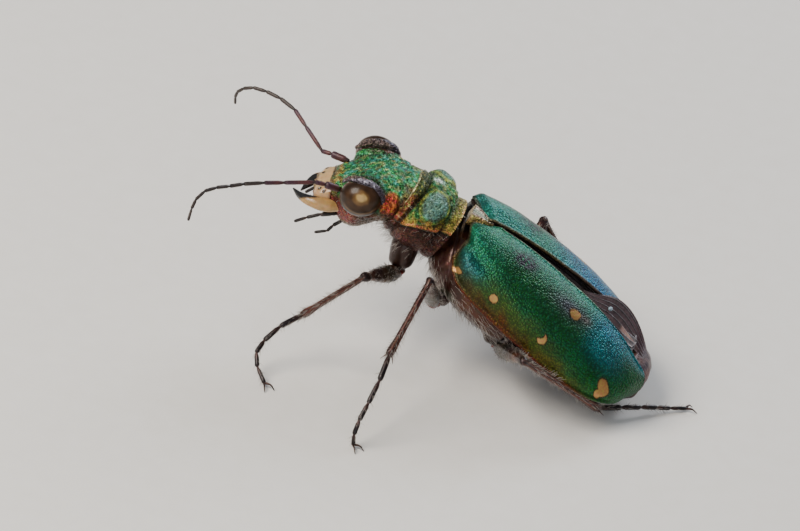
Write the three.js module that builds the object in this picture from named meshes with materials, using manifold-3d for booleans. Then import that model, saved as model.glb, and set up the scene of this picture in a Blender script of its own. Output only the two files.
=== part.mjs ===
// A green tiger beetle, life size, standing on its own six legs with its head up and its wing cases
// a little apart. Millimetres, +Z up, the head towards -Y, the beetle's left side towards +X.
// The trunk, the head and the legs each have their own group. Pieces that touch are cut to each
// other's shape with a narrow gap, so every part of the body is a closed solid of its own.
import * as THREE from "three";
import { mergeVertices } from "three/addons/utils/BufferGeometryUtils.js";
import Module from "manifold-3d";

const wasm = await Module();
wasm.setup();

// The sizes.
const gap = 0.1; // between neighbouring pieces
const trunkPitch = 25; // degrees, head end up
const trunkPlace = [0, -1.105, 4.175]; // the trunk's own origin, over the floor
const headPlace = [0, -2.354, 0.624]; // neck joint, in the trunk
const headNod = 30; // degrees, the face tips down
const headRoll = 7.2; // the left side lower
const headYaw = -2.2; // turned a little to the beetle's right
const elytronLength = 8.05; // from the trunk's origin to the tip of a case
const elytronWidth = 2.62; // one wing case at its widest
const elytronHeight = 1.9;
const elytronWall = 0.5;
const elytronSplay = 5.5; // degrees the left wing case is turned outwards
const caseFront = 0.28; // front edge of a case, behind the trunk's origin
const caseNotch = 0.45; // how much further back the front edge is at the seam
const caseHinge = [0, 0.3, 1.6]; // the right case turns about this point
const rightSplay = 6; // degrees, as are the next two
const rightRoll = 2;
const rightDroop = 1.2;
const rightShift = [-0.1, -0.3, 0.12];
const eyeRadius = 0.68;
const eyeAt = [1.33, -1.36, 0.32]; // in the head
const rightJawTurn = 24; // degrees the right jaw is closed further than the left
const bristleWidth = 0.2; // the spurs at the end of each shin
const clawLength = 0.45;
const seedOfSpines = 7;

const standPlace = [0.047, 0.587, 0]; // moves the middle of the footprint to the origin

const colours = {
  green: 0x1f7a45,
  teal: 0x1c7d6c,
  copper: 0x6b3a34,
  bronze: 0x4a2b2a,
  rust: 0x8a3f2a,
  cream: 0xe9dcc4,
  eye: 0x3a3426,
  belly: 0x3b2a34,
};

// The small tools.
const v3 = (p) => new THREE.Vector3(...p);

// A smooth value between stops [place, value], level at neither end.
function through(stops) {
  return (t) => {
    const last = stops.length - 1;
    let k = 0;
    while (k < last - 1 && t > stops[k + 1][0]) k += 1;
    const at = (i) => stops[Math.min(last, Math.max(0, i))];
    const slope = (i) => {
      const a = at(i - 1);
      const b = at(i + 1);
      return b[0] === a[0] ? 0 : (b[1] - a[1]) / (b[0] - a[0]);
    };
    const [t0, a] = at(k);
    const [t1, b] = at(k + 1);
    const h = t1 - t0;
    const u = Math.min(1, Math.max(0, (t - t0) / h));
    const u2 = u * u;
    const u3 = u2 * u;
    return (
      a * (2 * u3 - 3 * u2 + 1) +
      slope(k) * h * (u3 - 2 * u2 + u) +
      b * (3 * u2 - 2 * u3) +
      slope(k + 1) * h * (u3 - u2)
    );
  };
}

const power = (value, exponent) => Math.sign(value) * Math.abs(value) ** exponent;

// Turns a stack of closed rings, each with the same number of points, into one closed skin.
// The first and last rings are closed with a fan to their middle, or with strips across.
function skin(rings, strips = false) {
  const count = rings[0].length;
  const points = rings.flat();
  const faces = [];
  for (let r = 0; r < rings.length - 1; r += 1) {
    for (let i = 0; i < count; i += 1) {
      const a = r * count + i;
      const b = r * count + ((i + 1) % count);
      faces.push(a, b, b + count, a, b + count, a + count);
    }
  }
  for (const end of [0, rings.length - 1]) {
    const first = end * count;
    const turn = (a, b, c) => faces.push(...(end ? [a, b, c] : [a, c, b]));
    if (strips) {
      for (let i = 0; i < count / 2 - 1; i += 1) {
        const a = first + i;
        const b = first + i + 1;
        const c = first + count - 2 - i;
        const d = first + count - 1 - i;
        turn(a, b, c);
        turn(a, c, d);
      }
    } else {
      const middle = new THREE.Vector3();
      rings[end].forEach((p) => middle.addScaledVector(p, 1 / count));
      points.push(middle);
      for (let i = 0; i < count; i += 1) {
        turn(first + i, first + ((i + 1) % count), points.length - 1);
      }
    }
  }
  const geometry = new THREE.BufferGeometry().setFromPoints(points);
  geometry.setIndex(faces);
  return geometry;
}

// A geometry as a closed solid, facing out.
function solid(geometry) {
  const bare = geometry.index ? geometry.toNonIndexed() : geometry.clone();
  bare.deleteAttribute("normal");
  bare.deleteAttribute("uv");
  const merged = mergeVertices(bare, 1e-4);
  const make = (triVerts) =>
    new wasm.Manifold(
      new wasm.Mesh({
        numProp: 3,
        vertProperties: merged.attributes.position.array,
        triVerts,
      }),
    );
  const corners = Uint32Array.from(merged.index.array);
  const made = make(corners);
  return made.volume() < 0 ? make(corners.reverse()) : made;
}

// The largest closed body of a solid, after a cut.
function largest(body) {
  return body.decompose().reduce((a, b) => (a.volume() > b.volume() ? a : b));
}

function geometryOf(body) {
  const mesh = body.getMesh();
  const geometry = new THREE.BufferGeometry();
  const places = new Float32Array(mesh.numVert * 3);
  for (let i = 0; i < mesh.numVert; i += 1) {
    const from = i * mesh.numProp;
    places.set(mesh.vertProperties.subarray(from, from + 3), i * 3);
  }
  geometry.setAttribute("position", new THREE.BufferAttribute(places, 3));
  geometry.setIndex(new THREE.BufferAttribute(mesh.triVerts, 1));
  return geometry;
}

// A round-ended tube through 3-D points, with its own radius at each of them.
function tube(points, radii, sides, swell = 0, flat = 1) {
  const path = points.map(v3);
  const rings = [];
  const tangentAt = (i) =>
    path[Math.min(path.length - 1, i + 1)].clone().sub(path[Math.max(0, i - 1)]).normalize();
  let across = new THREE.Vector3(0.31, 0.22, 1).cross(tangentAt(0)).normalize();
  const ring = (centre, tangent, radius) => {
    across = across.clone().addScaledVector(tangent, -across.dot(tangent)).normalize();
    const up = tangent.clone().cross(across);
    return Array.from({ length: sides }, (_, i) => {
      const angle = (i / sides) * 2 * Math.PI;
      return centre
        .clone()
        .addScaledVector(across, radius * Math.cos(angle))
        .addScaledVector(up, radius * flat * Math.sin(angle));
    });
  };
  const cap = (i, sign) => {
    const tangent = tangentAt(i);
    const radius = radii[i] + swell;
    const centre = path[i].clone().addScaledVector(tangent, sign * radius * 0.55);
    return ring(centre, tangent, radius * 0.62);
  };
  rings.push(cap(0, -1));
  path.forEach((p, i) => rings.push(ring(p, tangentAt(i), radii[i] + swell)));
  rings.push(cap(path.length - 1, 1));
  return skin(rings);
}

// A smooth run of points and radii through a few joints.
function curve(points, radii, steps) {
  const line = new THREE.CatmullRomCurve3(points.map(v3), false, "centripetal");
  const radiusAt = through(radii.map((r, i) => [i / (radii.length - 1), r]));
  const run = { points: [], radii: [] };
  for (let i = 0; i <= steps; i += 1) {
    const p = line.getPoint(i / steps);
    run.points.push([p.x, p.y, p.z]);
    run.radii.push(radiusAt(i / steps));
  }
  return run;
}

// A body part with rings square to Y. Each stop is [y, half width, top, bottom, height of the widest
// place]; the section is a squarish oval.
function barrel(stops, ringCount, sides, squareness, swell = 0) {
  const column = (k) => through(stops.map((s) => [s[0], s[k]]));
  const [halfWidth, top, bottom, waist] = [1, 2, 3, 4].map(column);
  const first = stops[0][0];
  const length = stops[stops.length - 1][0] - first;
  const rings = [];
  for (let i = 0; i <= ringCount; i += 1) {
    const y = first + (length * (1 - Math.cos((Math.PI * i) / ringCount))) / 2;
    const middle = waist(y);
    rings.push(
      Array.from({ length: sides }, (_, k) => {
        const angle = (k / sides) * 2 * Math.PI;
        const up = Math.sin(angle);
        const height = up > 0 ? top(y) - middle : middle - bottom(y);
        return new THREE.Vector3(
          (halfWidth(y) + swell) * power(Math.cos(angle), 2 / squareness),
          y + (i === 0 ? -swell : i === ringCount ? swell : 0),
          middle + (height + swell) * power(up, 2 / squareness),
        );
      }),
    );
  }
  return skin(rings);
}

const mirror = (geometry) => geometry.clone().applyMatrix4(new THREE.Matrix4().makeScale(-1, 1, 1));
const degrees = THREE.MathUtils.degToRad;

// The groups.
const beetle = new THREE.Group();
const trunk = new THREE.Group();
trunk.position.set(...trunkPlace);
trunk.rotation.set(-degrees(trunkPitch), 0, 0);
const head = new THREE.Group();
head.position.set(...headPlace);
head.rotation.set(degrees(headNod), degrees(headRoll), degrees(headYaw), "ZXY");
beetle.add(trunk);
trunk.add(head);
beetle.updateMatrixWorld(true);

// Each piece is kept with a slightly larger copy of itself, which cuts the pieces made after it.
const made = [];

// shape(swell) gives the geometry in its group, grown by swell all round.
function piece(name, group, colour, shape, metalness = 0.4, roughness = 0.4) {
  const inWorld = (swell) => solid(shape(swell).applyMatrix4(group.matrixWorld));
  const grown = inWorld(gap);
  let body = inWorld(0);
  for (const other of made) {
    if (boxesMeet(body.boundingBox(), other.grown.boundingBox())) {
      body = body.subtract(other.grown);
    }
  }
  body = largest(body);
  made.push({ name, grown });
  const geometry = geometryOf(body).applyMatrix4(group.matrixWorld.clone().invert());
  const material = new THREE.MeshStandardMaterial({ color: colour, metalness, roughness });
  const mesh = new THREE.Mesh(geometry, material);
  mesh.name = name;
  group.add(mesh);
}

function boxesMeet(a, b) {
  return [0, 1, 2].every((k) => a.min[k] < b.max[k] && b.min[k] < a.max[k]);
}

// The wing cases.
// Along the case s runs 0 to 1. Across it, an arc runs from the seam at the top to the outer edge:
// x = width * sin(a)^0.9, z = height * cos(a)^round, where round grows from 0.8 at the shoulder to
// 1.55 at the tip, so the rear slopes more. The inner wall is the same arc, one wall smaller. The
// front edge stands back at the seam, where the small triangular shield sits.
const caseWidth = through([
  [0, 0.5],
  [0.035, 0.7],
  [0.1, 0.82],
  [0.25, 0.91],
  [0.45, 0.98],
  [0.62, 1],
  [0.78, 0.97],
  [0.88, 0.85],
  [0.95, 0.62],
  [1, 0.24],
]);
const caseHeight = through([
  [0, 0.74],
  [0.05, 0.89],
  [0.2, 1],
  [0.45, 1],
  [0.65, 0.93],
  [0.82, 0.76],
  [0.93, 0.58],
  [1, 0.46],
]);
const caseEdge = through([
  [0, 0.35],
  [0.08, 0.08],
  [0.3, 0],
  [0.7, 0.02],
  [1, 0.12],
]);

function wingCase(swell) {
  const lengthSteps = 20;
  const arcSteps = 10;
  const rings = [];
  for (let i = 0; i <= lengthSteps; i += 1) {
    const t = 0.5 - Math.cos(Math.PI * (0.08 + (0.92 * i) / lengthSteps)) / 2;
    const s = (t - (0.5 - Math.cos(Math.PI * 0.08) / 2)) / (0.5 + Math.cos(Math.PI * 0.08) / 2);
    const width = elytronWidth * caseWidth(s);
    const height = elytronHeight * caseHeight(s);
    const wall = Math.min(elytronWall, 0.75 * height, 0.75 * width) + swell;
    const u = Math.min(1, Math.max(0, (s - 0.2) / 0.8));
    const round = 0.8 + 0.75 * u * u * (3 - 2 * u);
    const end = i === 0 ? -swell : i === lengthSteps ? swell : 0;
    const arc = (w, h, z, from) =>
      Array.from({ length: arcSteps + 1 }, (_, k) => {
        const a = (k / arcSteps) * (Math.PI / 2);
        const front = caseFront + caseNotch * Math.exp(-((Math.sin(a) / 0.35) ** 2));
        return new THREE.Vector3(
          from + w * power(Math.sin(a), 0.9),
          front + (elytronLength - front) * s + end,
          caseEdge(s) + z + h * power(Math.cos(a), round),
        );
      });
    const outer = arc(width + 2 * swell, height + swell + 0.06 + swell, -swell, -swell);
    const inner = arc(width - wall + swell, height - wall + 0.06 + swell, -swell, -swell);
    rings.push([...outer, ...inner.reverse()]);
  }
  return skin(rings, true);
}

// The right case is opened a little further: it is rolled out and tipped down at its rear end.
const leftCase = (swell) => wingCase(swell).translate(0.05, 0, 0).rotateZ(-degrees(elytronSplay));
const rightCase = (swell) =>
  mirror(wingCase(swell))
    .translate(0, -caseHinge[1], -caseHinge[2])
    .rotateY(-degrees(rightRoll))
    .rotateX(-degrees(rightDroop))
    .rotateZ(degrees(rightSplay))
    .translate(...caseHinge)
    .translate(...rightShift);
piece("elytron_left", trunk, colours.teal, leftCase);
piece("elytron_right", trunk, colours.teal, rightCase);

// The trunk.
const pronotumStops = [
  [-2.36, 1.14, 1.42, -0.75, 0.35],
  [-2.25, 1.22, 1.5, -0.82, 0.35],
  [-2.12, 1.31, 1.53, -0.86, 0.4],
  [-1.8, 1.5, 1.7, -0.9, 0.45],
  [-1.3, 1.52, 1.74, -0.92, 0.45],
  [-0.85, 1.35, 1.62, -0.9, 0.45],
  [-0.62, 1.22, 1.5, -0.86, 0.45],
  [-0.4, 1.26, 1.52, -0.8, 0.45],
];
piece("pronotum", trunk, colours.green, (s) => barrel(pronotumStops, 14, 28, 2.3, s));

// The small triangular shield between the wing cases.
function scutellum(swell) {
  const shape = new THREE.Shape();
  shape.moveTo(-0.68 - swell, -0.24 - swell);
  shape.lineTo(0.68 + swell, -0.24 - swell);
  shape.lineTo(0.46 + swell, 0.16 + swell);
  shape.lineTo(0, 0.78 + 2 * swell);
  shape.lineTo(-0.46 - swell, 0.16 + swell);
  const options = { depth: 0.55 + 2 * swell, bevelEnabled: false };
  return new THREE.ExtrudeGeometry(shape, options).translate(0, 0, 1.08 - swell);
}

const thoraxStops = [
  [-0.32, 0.95, 0.85, -0.8, 0.0],
  [0.1, 1.5, 0.95, -1.05, -0.1],
  [0.8, 1.85, 1.1, -1.3, -0.2],
  [1.8, 2.0, 1.2, -1.45, -0.25],
  [2.7, 2.1, 1.2, -1.45, -0.25],
  [3.2, 2.12, 1.2, -1.4, -0.25],
];
const abdomenStops = [
  [3.3, 2.12, 1.2, -1.35, -0.25],
  [4.2, 2.2, 1.2, -1.3, -0.25],
  [5.4, 2.2, 1.1, -1.15, -0.2],
  [6.4, 2.05, 1.1, -0.9, -0.1],
  [7.4, 1.7, 1.12, -0.6, 0],
  [8.1, 1.25, 0.98, -0.3, 0.1],
  [8.42, 0.7, 0.68, -0.08, 0.25],
];

// Shallow grooves part the rings of the hind body.
function ringed(geometry, pitch, depth) {
  const place = geometry.attributes.position;
  for (let i = 0; i < place.count; i += 1) {
    const wave = Math.abs(Math.sin((Math.PI * (place.getY(i) - 3.3)) / pitch)) ** 0.5;
    const shrink = 1 - depth * (1 - wave);
    place.setX(i, place.getX(i) * shrink);
    place.setZ(i, place.getZ(i) * shrink);
  }
  return geometry;
}

// The head.
const headStops = [
  [-2.62, 0.72, 0.16, -0.85, -0.25],
  [-2.3, 0.9, 0.4, -1.35, -0.2],
  [-1.9, 1.08, 0.62, -1.7, -0.1],
  [-1.4, 1.25, 0.78, -1.58, 0],
  [-0.9, 1.38, 0.86, -1.14, 0],
  [-0.4, 1.3, 0.84, -0.95, 0],
  [0.06, 1.12, 0.74, -0.85, 0],
  [0.45, 0.98, 0.62, -0.75, 0],
];
const eye = (side) => (swell) =>
  new THREE.SphereGeometry(eyeRadius + swell, 18, 12)
    .scale(0.92, 1.04, 0.98)
    .rotateZ(side * 0.15)
    .translate(side * eyeAt[0], eyeAt[1], eyeAt[2]);
piece("eye_left", head, colours.eye, eye(1), 0.1, 0.1);
piece("eye_right", head, colours.eye, eye(-1), 0.1, 0.1);
piece("head", head, colours.green, (s) => barrel(headStops, 13, 26, 2.2, s));

const labrumStops = [
  [-3.08, 0.7, -0.24, -0.62, -0.43],
  [-2.95, 0.86, -0.1, -0.64, -0.4],
  [-2.5, 0.88, 0.08, -0.58, -0.28],
];
piece("labrum", head, colours.cream, (s) => barrel(labrumStops, 4, 16, 3.2, s), 0, 0.4);

// Each jaw is a curved sickle with three teeth inside it. The right one is closed a little further.
const jawPath = [
  [0.7, -2.3, -0.68],
  [0.95, -2.72, -0.66],
  [0.95, -3.2, -0.6],
  [0.66, -3.6, -0.6],
  [0.34, -3.86, -0.6],
];
function jaw(side, swell) {
  const turn = degrees(side < 0 ? rightJawTurn : 0);
  const [hingeX, hingeY] = jawPath[0];
  const path = jawPath.map(([x, y, z]) => [
    side * (hingeX + (x - hingeX) * Math.cos(turn) + (y - hingeY) * Math.sin(turn)),
    hingeY + (y - hingeY) * Math.cos(turn) - (x - hingeX) * Math.sin(turn),
    z,
  ]);
  const run = curve(path, [0.3, 0.28, 0.24, 0.19, 0.07], 9);
  let body = solid(tube(run.points, run.radii, 10, swell, 0.85));
  for (let k = 0; k < 3; k += 1) {
    const root = run.points[3 + 2 * k];
    const tip = [root[0] - side * (0.45 - 0.06 * k), root[1] - 0.08, root[2]];
    body = body.add(solid(tube([root, tip], [0.16 - 0.02 * k + swell, 0.05 + swell], 6)));
  }
  return geometryOf(body);
}
piece("mandible_left", head, colours.cream, (s) => jaw(1, s), 0, 0.3);
piece("mandible_right", head, colours.cream, (s) => jaw(-1, s), 0, 0.3);

// A feeler by each jaw: short joints, each a little thicker at its far end.
function joints(points, radii, sides, swell) {
  const path = [];
  const sizes = [];
  for (let k = 0; k < points.length - 1; k += 1) {
    const a = v3(points[k]);
    const b = v3(points[k + 1]);
    for (const u of [0.1, 0.6, 0.9]) {
      path.push(a.clone().lerp(b, u).toArray());
      sizes.push(radii[k] * (u < 0.2 ? 0.8 : 1));
    }
  }
  return tube(path, sizes, sides, swell);
}
const palp = (side, long) => (swell) =>
  long
    ? joints(
        [
          [side * 0.72, -2.1, -1.0],
          [side * 0.95, -2.62, -1.12],
          [side * 1.0, -3.18, -1.28],
          [side * 0.9, -3.59, -1.55],
        ],
        [0.2, 0.19, 0.18],
        8,
        swell,
      )
    : joints(
        [
          [side * 0.3, -2.01, -1.45],
          [side * 0.4, -2.36, -1.8],
          [side * 0.52, -2.9, -2.12],
        ],
        [0.2, 0.18],
        8,
        swell,
      );
for (const [side, word] of [
  [1, "left"],
  [-1, "right"],
]) {
  piece("palp_outer_" + word, head, colours.bronze, palp(side, true), 0.3, 0.4);
  piece("palp_inner_" + word, head, colours.bronze, palp(side, false), 0.3, 0.4);
}

// The antennae: eleven joints from the front of each eye, in the head's own frame.
const antennaLeft = [
  [0.9, -2.14, 0.16],
  [1.13, -2.66, 0.41],
  [1.28, -2.99, 0.53],
  [1.73, -4.0, 0.57],
  [2.18, -4.62, 0.72],
  [2.58, -5.26, 0.79],
  [3.0, -5.67, 0.89],
  [3.44, -6.05, 1.04],
  [3.86, -6.38, 1.1],
  [4.33, -6.58, 1.03],
  [4.67, -6.64, 0.87],
  [4.95, -6.67, 0.56],
];
const antennaRight = [
  [-0.68, -2.24, 0.28],
  [-0.83, -2.84, 0.31],
  [-0.97, -3.21, 0.25],
  [-1.6, -3.95, 0.66],
  [-2.15, -4.49, 0.88],
  [-2.52, -5.09, 0.97],
  [-2.72, -5.64, 1.0],
  [-2.83, -6.13, 0.97],
  [-2.91, -6.48, 0.8],
  [-3.0, -6.7, 0.54],
  [-3.09, -6.77, 0.25],
  [-3.16, -6.76, -0.07],
];
const antennaRadii = [0.25, 0.22, 0.24, 0.24, 0.23, 0.22, 0.21, 0.2, 0.19, 0.18, 0.17];
const antenna = (points) => (swell) => joints(points, antennaRadii, 8, swell);
piece("antenna_left", head, colours.bronze, antenna(antennaLeft), 0.3, 0.5);
piece("antenna_right", head, colours.bronze, antenna(antennaRight), 0.3, 0.5);

piece("scutellum", trunk, colours.copper, scutellum);
piece("thorax", trunk, colours.copper, (s) => barrel(thoraxStops, 8, 22, 2.3, s));
piece("abdomen", trunk, colours.belly, (s) =>
  ringed(barrel(abdomenStops, 14, 22, 2.3, s), 1.02, 0.05),
);

// The legs.
// Over the floor, from hip to claw: hip (in the trunk), then knee, ankle and the ends of the foot's
// joints. The foot's last point rests on the floor.
const legs = {
  front_left: {
    hip: [0.7, -1.25, -0.7],
    trochanter: [0.9, -2.57, 3.04],
    knee: [3.25, -3.56, 3.9],
    ankle: [3.27, -5.26, 1.86],
    foot: [
      [3.81, -5.91, 1.47],
      [4.28, -6.31, 1.04],
      [4.69, -6.46, 0.74],
      [5.05, -6.3, 0.42],
      [5.5, -5.9, 0.17],
    ],
  },
  front_right: {
    hip: [-0.7, -1.25, -0.7],
    trochanter: [-0.9, -2.57, 3.04],
    knee: [-3.1, -2.9, 4.3],
    ankle: [-4.9, -2.9, 2.35],
    foot: [
      [-5.3, -2.85, 1.5],
      [-5.6, -2.8, 0.9],
      [-5.85, -2.7, 0.5],
      [-6.2, -2.6, 0.25],
      [-6.75, -2.5, 0.17],
    ],
  },
  middle_left: {
    hip: [0.85, 0.75, -1.2],
    trochanter: [1.3, -1.11, 2.47],
    knee: [3.45, -1.32, 4.55],
    ankle: [5.55, -1.98, 2.59],
    foot: [
      [6.38, -2.07, 1.98],
      [7.07, -2.23, 1.41],
      [7.55, -2.37, 0.95],
      [7.8, -2.42, 0.5],
      [7.85, -2.36, 0.17],
    ],
  },
  middle_right: {
    hip: [-0.85, 0.75, -1.2],
    trochanter: [-1.3, -1.11, 2.47],
    knee: [-3.3, 0.2, 4.05],
    ankle: [-5.4, 0.9, 2.3],
    foot: [
      [-6.1, 1.05, 1.55],
      [-6.6, 1.15, 0.95],
      [-7.0, 1.25, 0.5],
      [-7.4, 1.32, 0.25],
      [-7.95, 1.4, 0.17],
    ],
  },
  hind_left: {
    hip: [0.7, 3.1, -1.2],
    trochanter: [1.0, 1.48, 1.26],
    knee: [4.27, 2.5, 2.92],
    ankle: [1.95, 5.35, 0.5],
    foot: [
      [1.35, 6.1, 0.42],
      [0.85, 6.75, 0.36],
      [0.45, 7.3, 0.3],
      [0.15, 7.75, 0.25],
      [-0.2, 8.3, 0.17],
    ],
  },
  hind_right: {
    hip: [-0.7, 3.1, -1.2],
    trochanter: [-1.0, 1.48, 1.26],
    knee: [-4.24, 1.8, 3.59],
    ankle: [-3.6, 4.4, 0.6],
    foot: [
      [-4.15, 4.62, 0.46],
      [-4.7, 4.8, 0.36],
      [-5.1, 4.9, 0.28],
      [-5.45, 5, 0.22],
      [-5.8, 5, 0.17],
    ],
  },
};

// A seeded number between 0 and 1, the same on every run.
function seeded(seed) {
  let state = seed;
  return () => {
    state = (state * 16807) % 2147483647;
    return state / 2147483647;
  };
}

function between(a, b, u) {
  return v3(a).lerp(v3(b), u).toArray();
}

// A thigh is thickest a third of the way along and narrows to the knee.
function thigh(leg, thick) {
  const stops = [0.04, 0.2, 0.4, 0.65, 0.88, 0.98];
  const share = [0.7, 0.95, 1, 0.8, 0.62, 0.66];
  const points = stops.map((u) => between(leg.trochanter, leg.knee, u));
  const radii = share.map((r) => thick * r);
  return (swell) => tube(points, radii, 10, swell);
}

// A shin is a slim rod, a little wider at its end, where two spurs stand.
function shin(leg, random) {
  const stops = [0.02, 0.12, 0.5, 0.85, 0.97];
  const share = [0.25, 0.22, 0.22, 0.25, 0.27];
  const points = stops.map((u) => between(leg.knee, leg.ankle, u));
  const along = v3(leg.ankle).sub(v3(leg.knee)).normalize();
  const side = new THREE.Vector3(0, 0, 1).cross(along).normalize();
  const tips = [-1, 1].map((s) => {
    const lean = 0.28 + 0.06 * random();
    const root = v3(between(leg.knee, leg.ankle, 0.9));
    const tip = root.clone().addScaledVector(along, 0.42).addScaledVector(side, s * lean);
    return [root.toArray(), tip.add(new THREE.Vector3(0, 0, -0.1)).toArray()];
  });
  return (swell) => {
    let body = solid(tube(points, share, 10, swell));
    for (const [root, tip] of tips) {
      const width = bristleWidth / 2 + swell;
      body = body.add(solid(tube([root, tip], [width, width * 0.4], 6)));
    }
    return geometryOf(body);
  };
}

// The space under the floor, which gives each foot its small flat sole.
const underFloor = solid(new THREE.BoxGeometry(40, 40, 2).translate(0, 0, -1));

// A foot has five joints and ends in two hooked claws.
function foot(leg) {
  const points = [leg.ankle, ...leg.foot];
  const last = v3(points[5]).sub(v3(points[4])).setZ(0).normalize();
  const side = new THREE.Vector3(0, 0, 1).cross(last).normalize();
  const end = v3(points[5]);
  return (swell) => {
    let body = solid(joints(points, [0.23, 0.22, 0.21, 0.2, 0.19], 8, swell));
    for (const s of [-1, 1]) {
      const tip = end
        .clone()
        .addScaledVector(last, clawLength * 0.85)
        .addScaledVector(side, s * clawLength * 0.5)
        .setZ(0.05);
      const root = end.clone().addScaledVector(last, -0.05);
      const claw = tube([root.toArray(), tip.toArray()], [0.11 + swell, 0.05 + swell], 6);
      body = body.add(solid(claw));
    }
    return geometryOf(body.subtract(underFloor));
  };
}

const random = seeded(seedOfSpines);
const thighThickness = { front: 0.36, middle: 0.35, hind: 0.38 };
for (const [name, leg] of Object.entries(legs)) {
  const hip = v3(leg.hip).applyMatrix4(trunk.matrixWorld).toArray();
  const joint = between(hip, leg.trochanter, 0.72);
  const coxa = [hip, joint, leg.trochanter];
  piece("coxa_" + name, beetle, colours.rust, (s) => tube(coxa, [0.5, 0.42, 0.3], 10, s));
  const thick = thighThickness[name.split("_")[0]];
  piece("femur_" + name, beetle, colours.bronze, thigh(leg, thick));
  piece("tibia_" + name, beetle, colours.bronze, shin(leg, random));
  piece("tarsus_" + name, beetle, colours.bronze, foot(leg));
}

beetle.position.set(...standPlace);

export default beetle;
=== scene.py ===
import math

import bpy
import numpy as np
from mathutils import Matrix


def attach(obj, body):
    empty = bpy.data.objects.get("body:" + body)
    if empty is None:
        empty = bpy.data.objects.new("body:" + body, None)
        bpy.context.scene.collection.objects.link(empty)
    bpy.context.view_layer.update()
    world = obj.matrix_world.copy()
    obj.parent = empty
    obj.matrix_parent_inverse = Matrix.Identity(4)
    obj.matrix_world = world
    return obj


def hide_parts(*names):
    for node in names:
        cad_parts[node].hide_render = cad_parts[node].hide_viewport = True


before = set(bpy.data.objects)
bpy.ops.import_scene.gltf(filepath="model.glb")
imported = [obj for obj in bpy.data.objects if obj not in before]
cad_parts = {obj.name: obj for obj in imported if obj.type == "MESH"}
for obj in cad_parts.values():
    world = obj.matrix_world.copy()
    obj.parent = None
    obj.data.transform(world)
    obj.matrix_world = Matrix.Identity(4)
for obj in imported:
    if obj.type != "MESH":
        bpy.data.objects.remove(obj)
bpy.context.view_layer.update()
print("frame loaded:", len(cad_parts), "nodes")

mm = 0.001

# Where the beetle's parts stand, in millimetres and degrees. The floor frame holds the legs, the trunk
# frame the body and wing cases, and the head frame all that the neck carries.
stance = {
    "stand": (0.047, 0.587, 0),
    "trunkPlace": (0, -1.105, 4.175),
    "trunkPitch": 25,
    "headPlace": (0, -2.354, 0.624),
    "headNod": 30,
    "headRoll": 7.2,
    "headYaw": -2.2,
}


def moved(place):
    # 4x4 matrix that shifts by a place
    m = np.eye(4)
    m[:3, 3] = place
    return m


def turned(axis, angle):
    # 4x4 matrix that turns about x, y or z by an angle in degrees
    a = math.radians(angle)
    i, j = {"x": (1, 2), "y": (2, 0), "z": (0, 1)}[axis]
    m = np.eye(4)
    m[i, i] = m[j, j] = math.cos(a)
    m[i, j] = -math.sin(a)
    m[j, i] = math.sin(a)
    return m


floorFrame = moved(stance["stand"])
trunkFrame = floorFrame @ moved(stance["trunkPlace"]) @ turned("x", -stance["trunkPitch"])
headFrame = (
    trunkFrame
    @ moved(stance["headPlace"])
    @ turned("z", stance["headYaw"])
    @ turned("x", stance["headNod"])
    @ turned("y", stance["headRoll"])
)


def inFrame(points, place):
    # points in a frame's millimetres, to millimetres over the floor
    return points @ place[:3, :3].T + place[:3, 3]


# Colours are sRGB hex values, turned to linear here.
def linear(code):
    c = np.array([int(code[i : i + 2], 16) for i in (0, 2, 4)]) / 255
    return np.where(c <= 0.04045, c / 12.92, ((c + 0.055) / 1.055) ** 2.4)


def bump(x, centre, width):
    # a smooth hump, 1 at its centre, that fades over its width
    return np.exp(-(((x - centre) / width) ** 2))


def rise(x, low, high):
    # a smooth step from 0 at low to 1 at high
    t = np.clip((x - low) / (high - low), 0, 1)
    return t * t * (3 - 2 * t)


def power(x, exponent):
    return np.sign(x) * np.abs(x) ** exponent


def through(stops, t):
    # a smooth curve through stops (place, value, value, ...): cubic pieces, each stop's slope from its
    # two neighbours
    table = np.array(stops, float)
    x, y = table[:, 0], table[:, 1:]
    last = len(x) - 1
    before, after = np.maximum(np.arange(last + 1) - 1, 0), np.minimum(np.arange(last + 1) + 1, last)
    slope = (y[after] - y[before]) / (x[after] - x[before])[:, None]
    t = np.asarray(t, float)
    k = np.clip(np.searchsorted(x, t, side="right") - 1, 0, last - 1)
    h = (x[k + 1] - x[k])[..., None]
    u = np.clip((t - x[k])[..., None] / h, 0, 1)
    out = (
        y[k] * (2 * u**3 - 3 * u**2 + 1)
        + slope[k] * h * (u**3 - 2 * u**2 + u)
        + y[k + 1] * (3 * u**2 - 2 * u**3)
        + slope[k + 1] * h * (u**3 - u**2)
    )
    return out[..., 0] if out.shape[-1] == 1 else out


def waves(points, size, seed):
    # soft seeded lumps: a sum of eight sine waves in random directions, from about -1 to 1
    random = np.random.default_rng(seed)
    total = np.zeros(points.shape[:-1])
    for _ in range(8):
        direction = random.normal(size=3)
        direction /= np.linalg.norm(direction)
        length = size * random.uniform(0.7, 1.6)
        total += np.sin(points @ direction * 2 * np.pi / length + random.uniform(0, 6.3))
    return total / 4


def gridNormals(grid):
    # outward directions on a grid whose second way goes round: the cross product of its two slopes
    around = np.roll(grid, -1, 1) - np.roll(grid, 1, 1)
    along = np.gradient(grid, axis=0)
    n = np.cross(around, along)
    n /= np.maximum(np.linalg.norm(n, axis=2, keepdims=True), 1e-9)
    middle = grid.mean(1, keepdims=True)
    if ((grid - middle) * n).sum() < 0:
        n = -n
    return n


def painted(shape, code):
    # for every point of a grid a colour, and how strongly the material's grain shows on it
    paint = np.empty((*shape, 4))
    paint[..., :3] = linear(code)
    paint[..., 3] = 1
    return paint


def brush(paint, code, share):
    # lays a colour over part of a grid, by a share from 0 to 1 at each point
    share = np.clip(share, 0, 1)[..., None]
    paint[..., :3] = paint[..., :3] * (1 - share) + linear(code) * share


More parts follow.
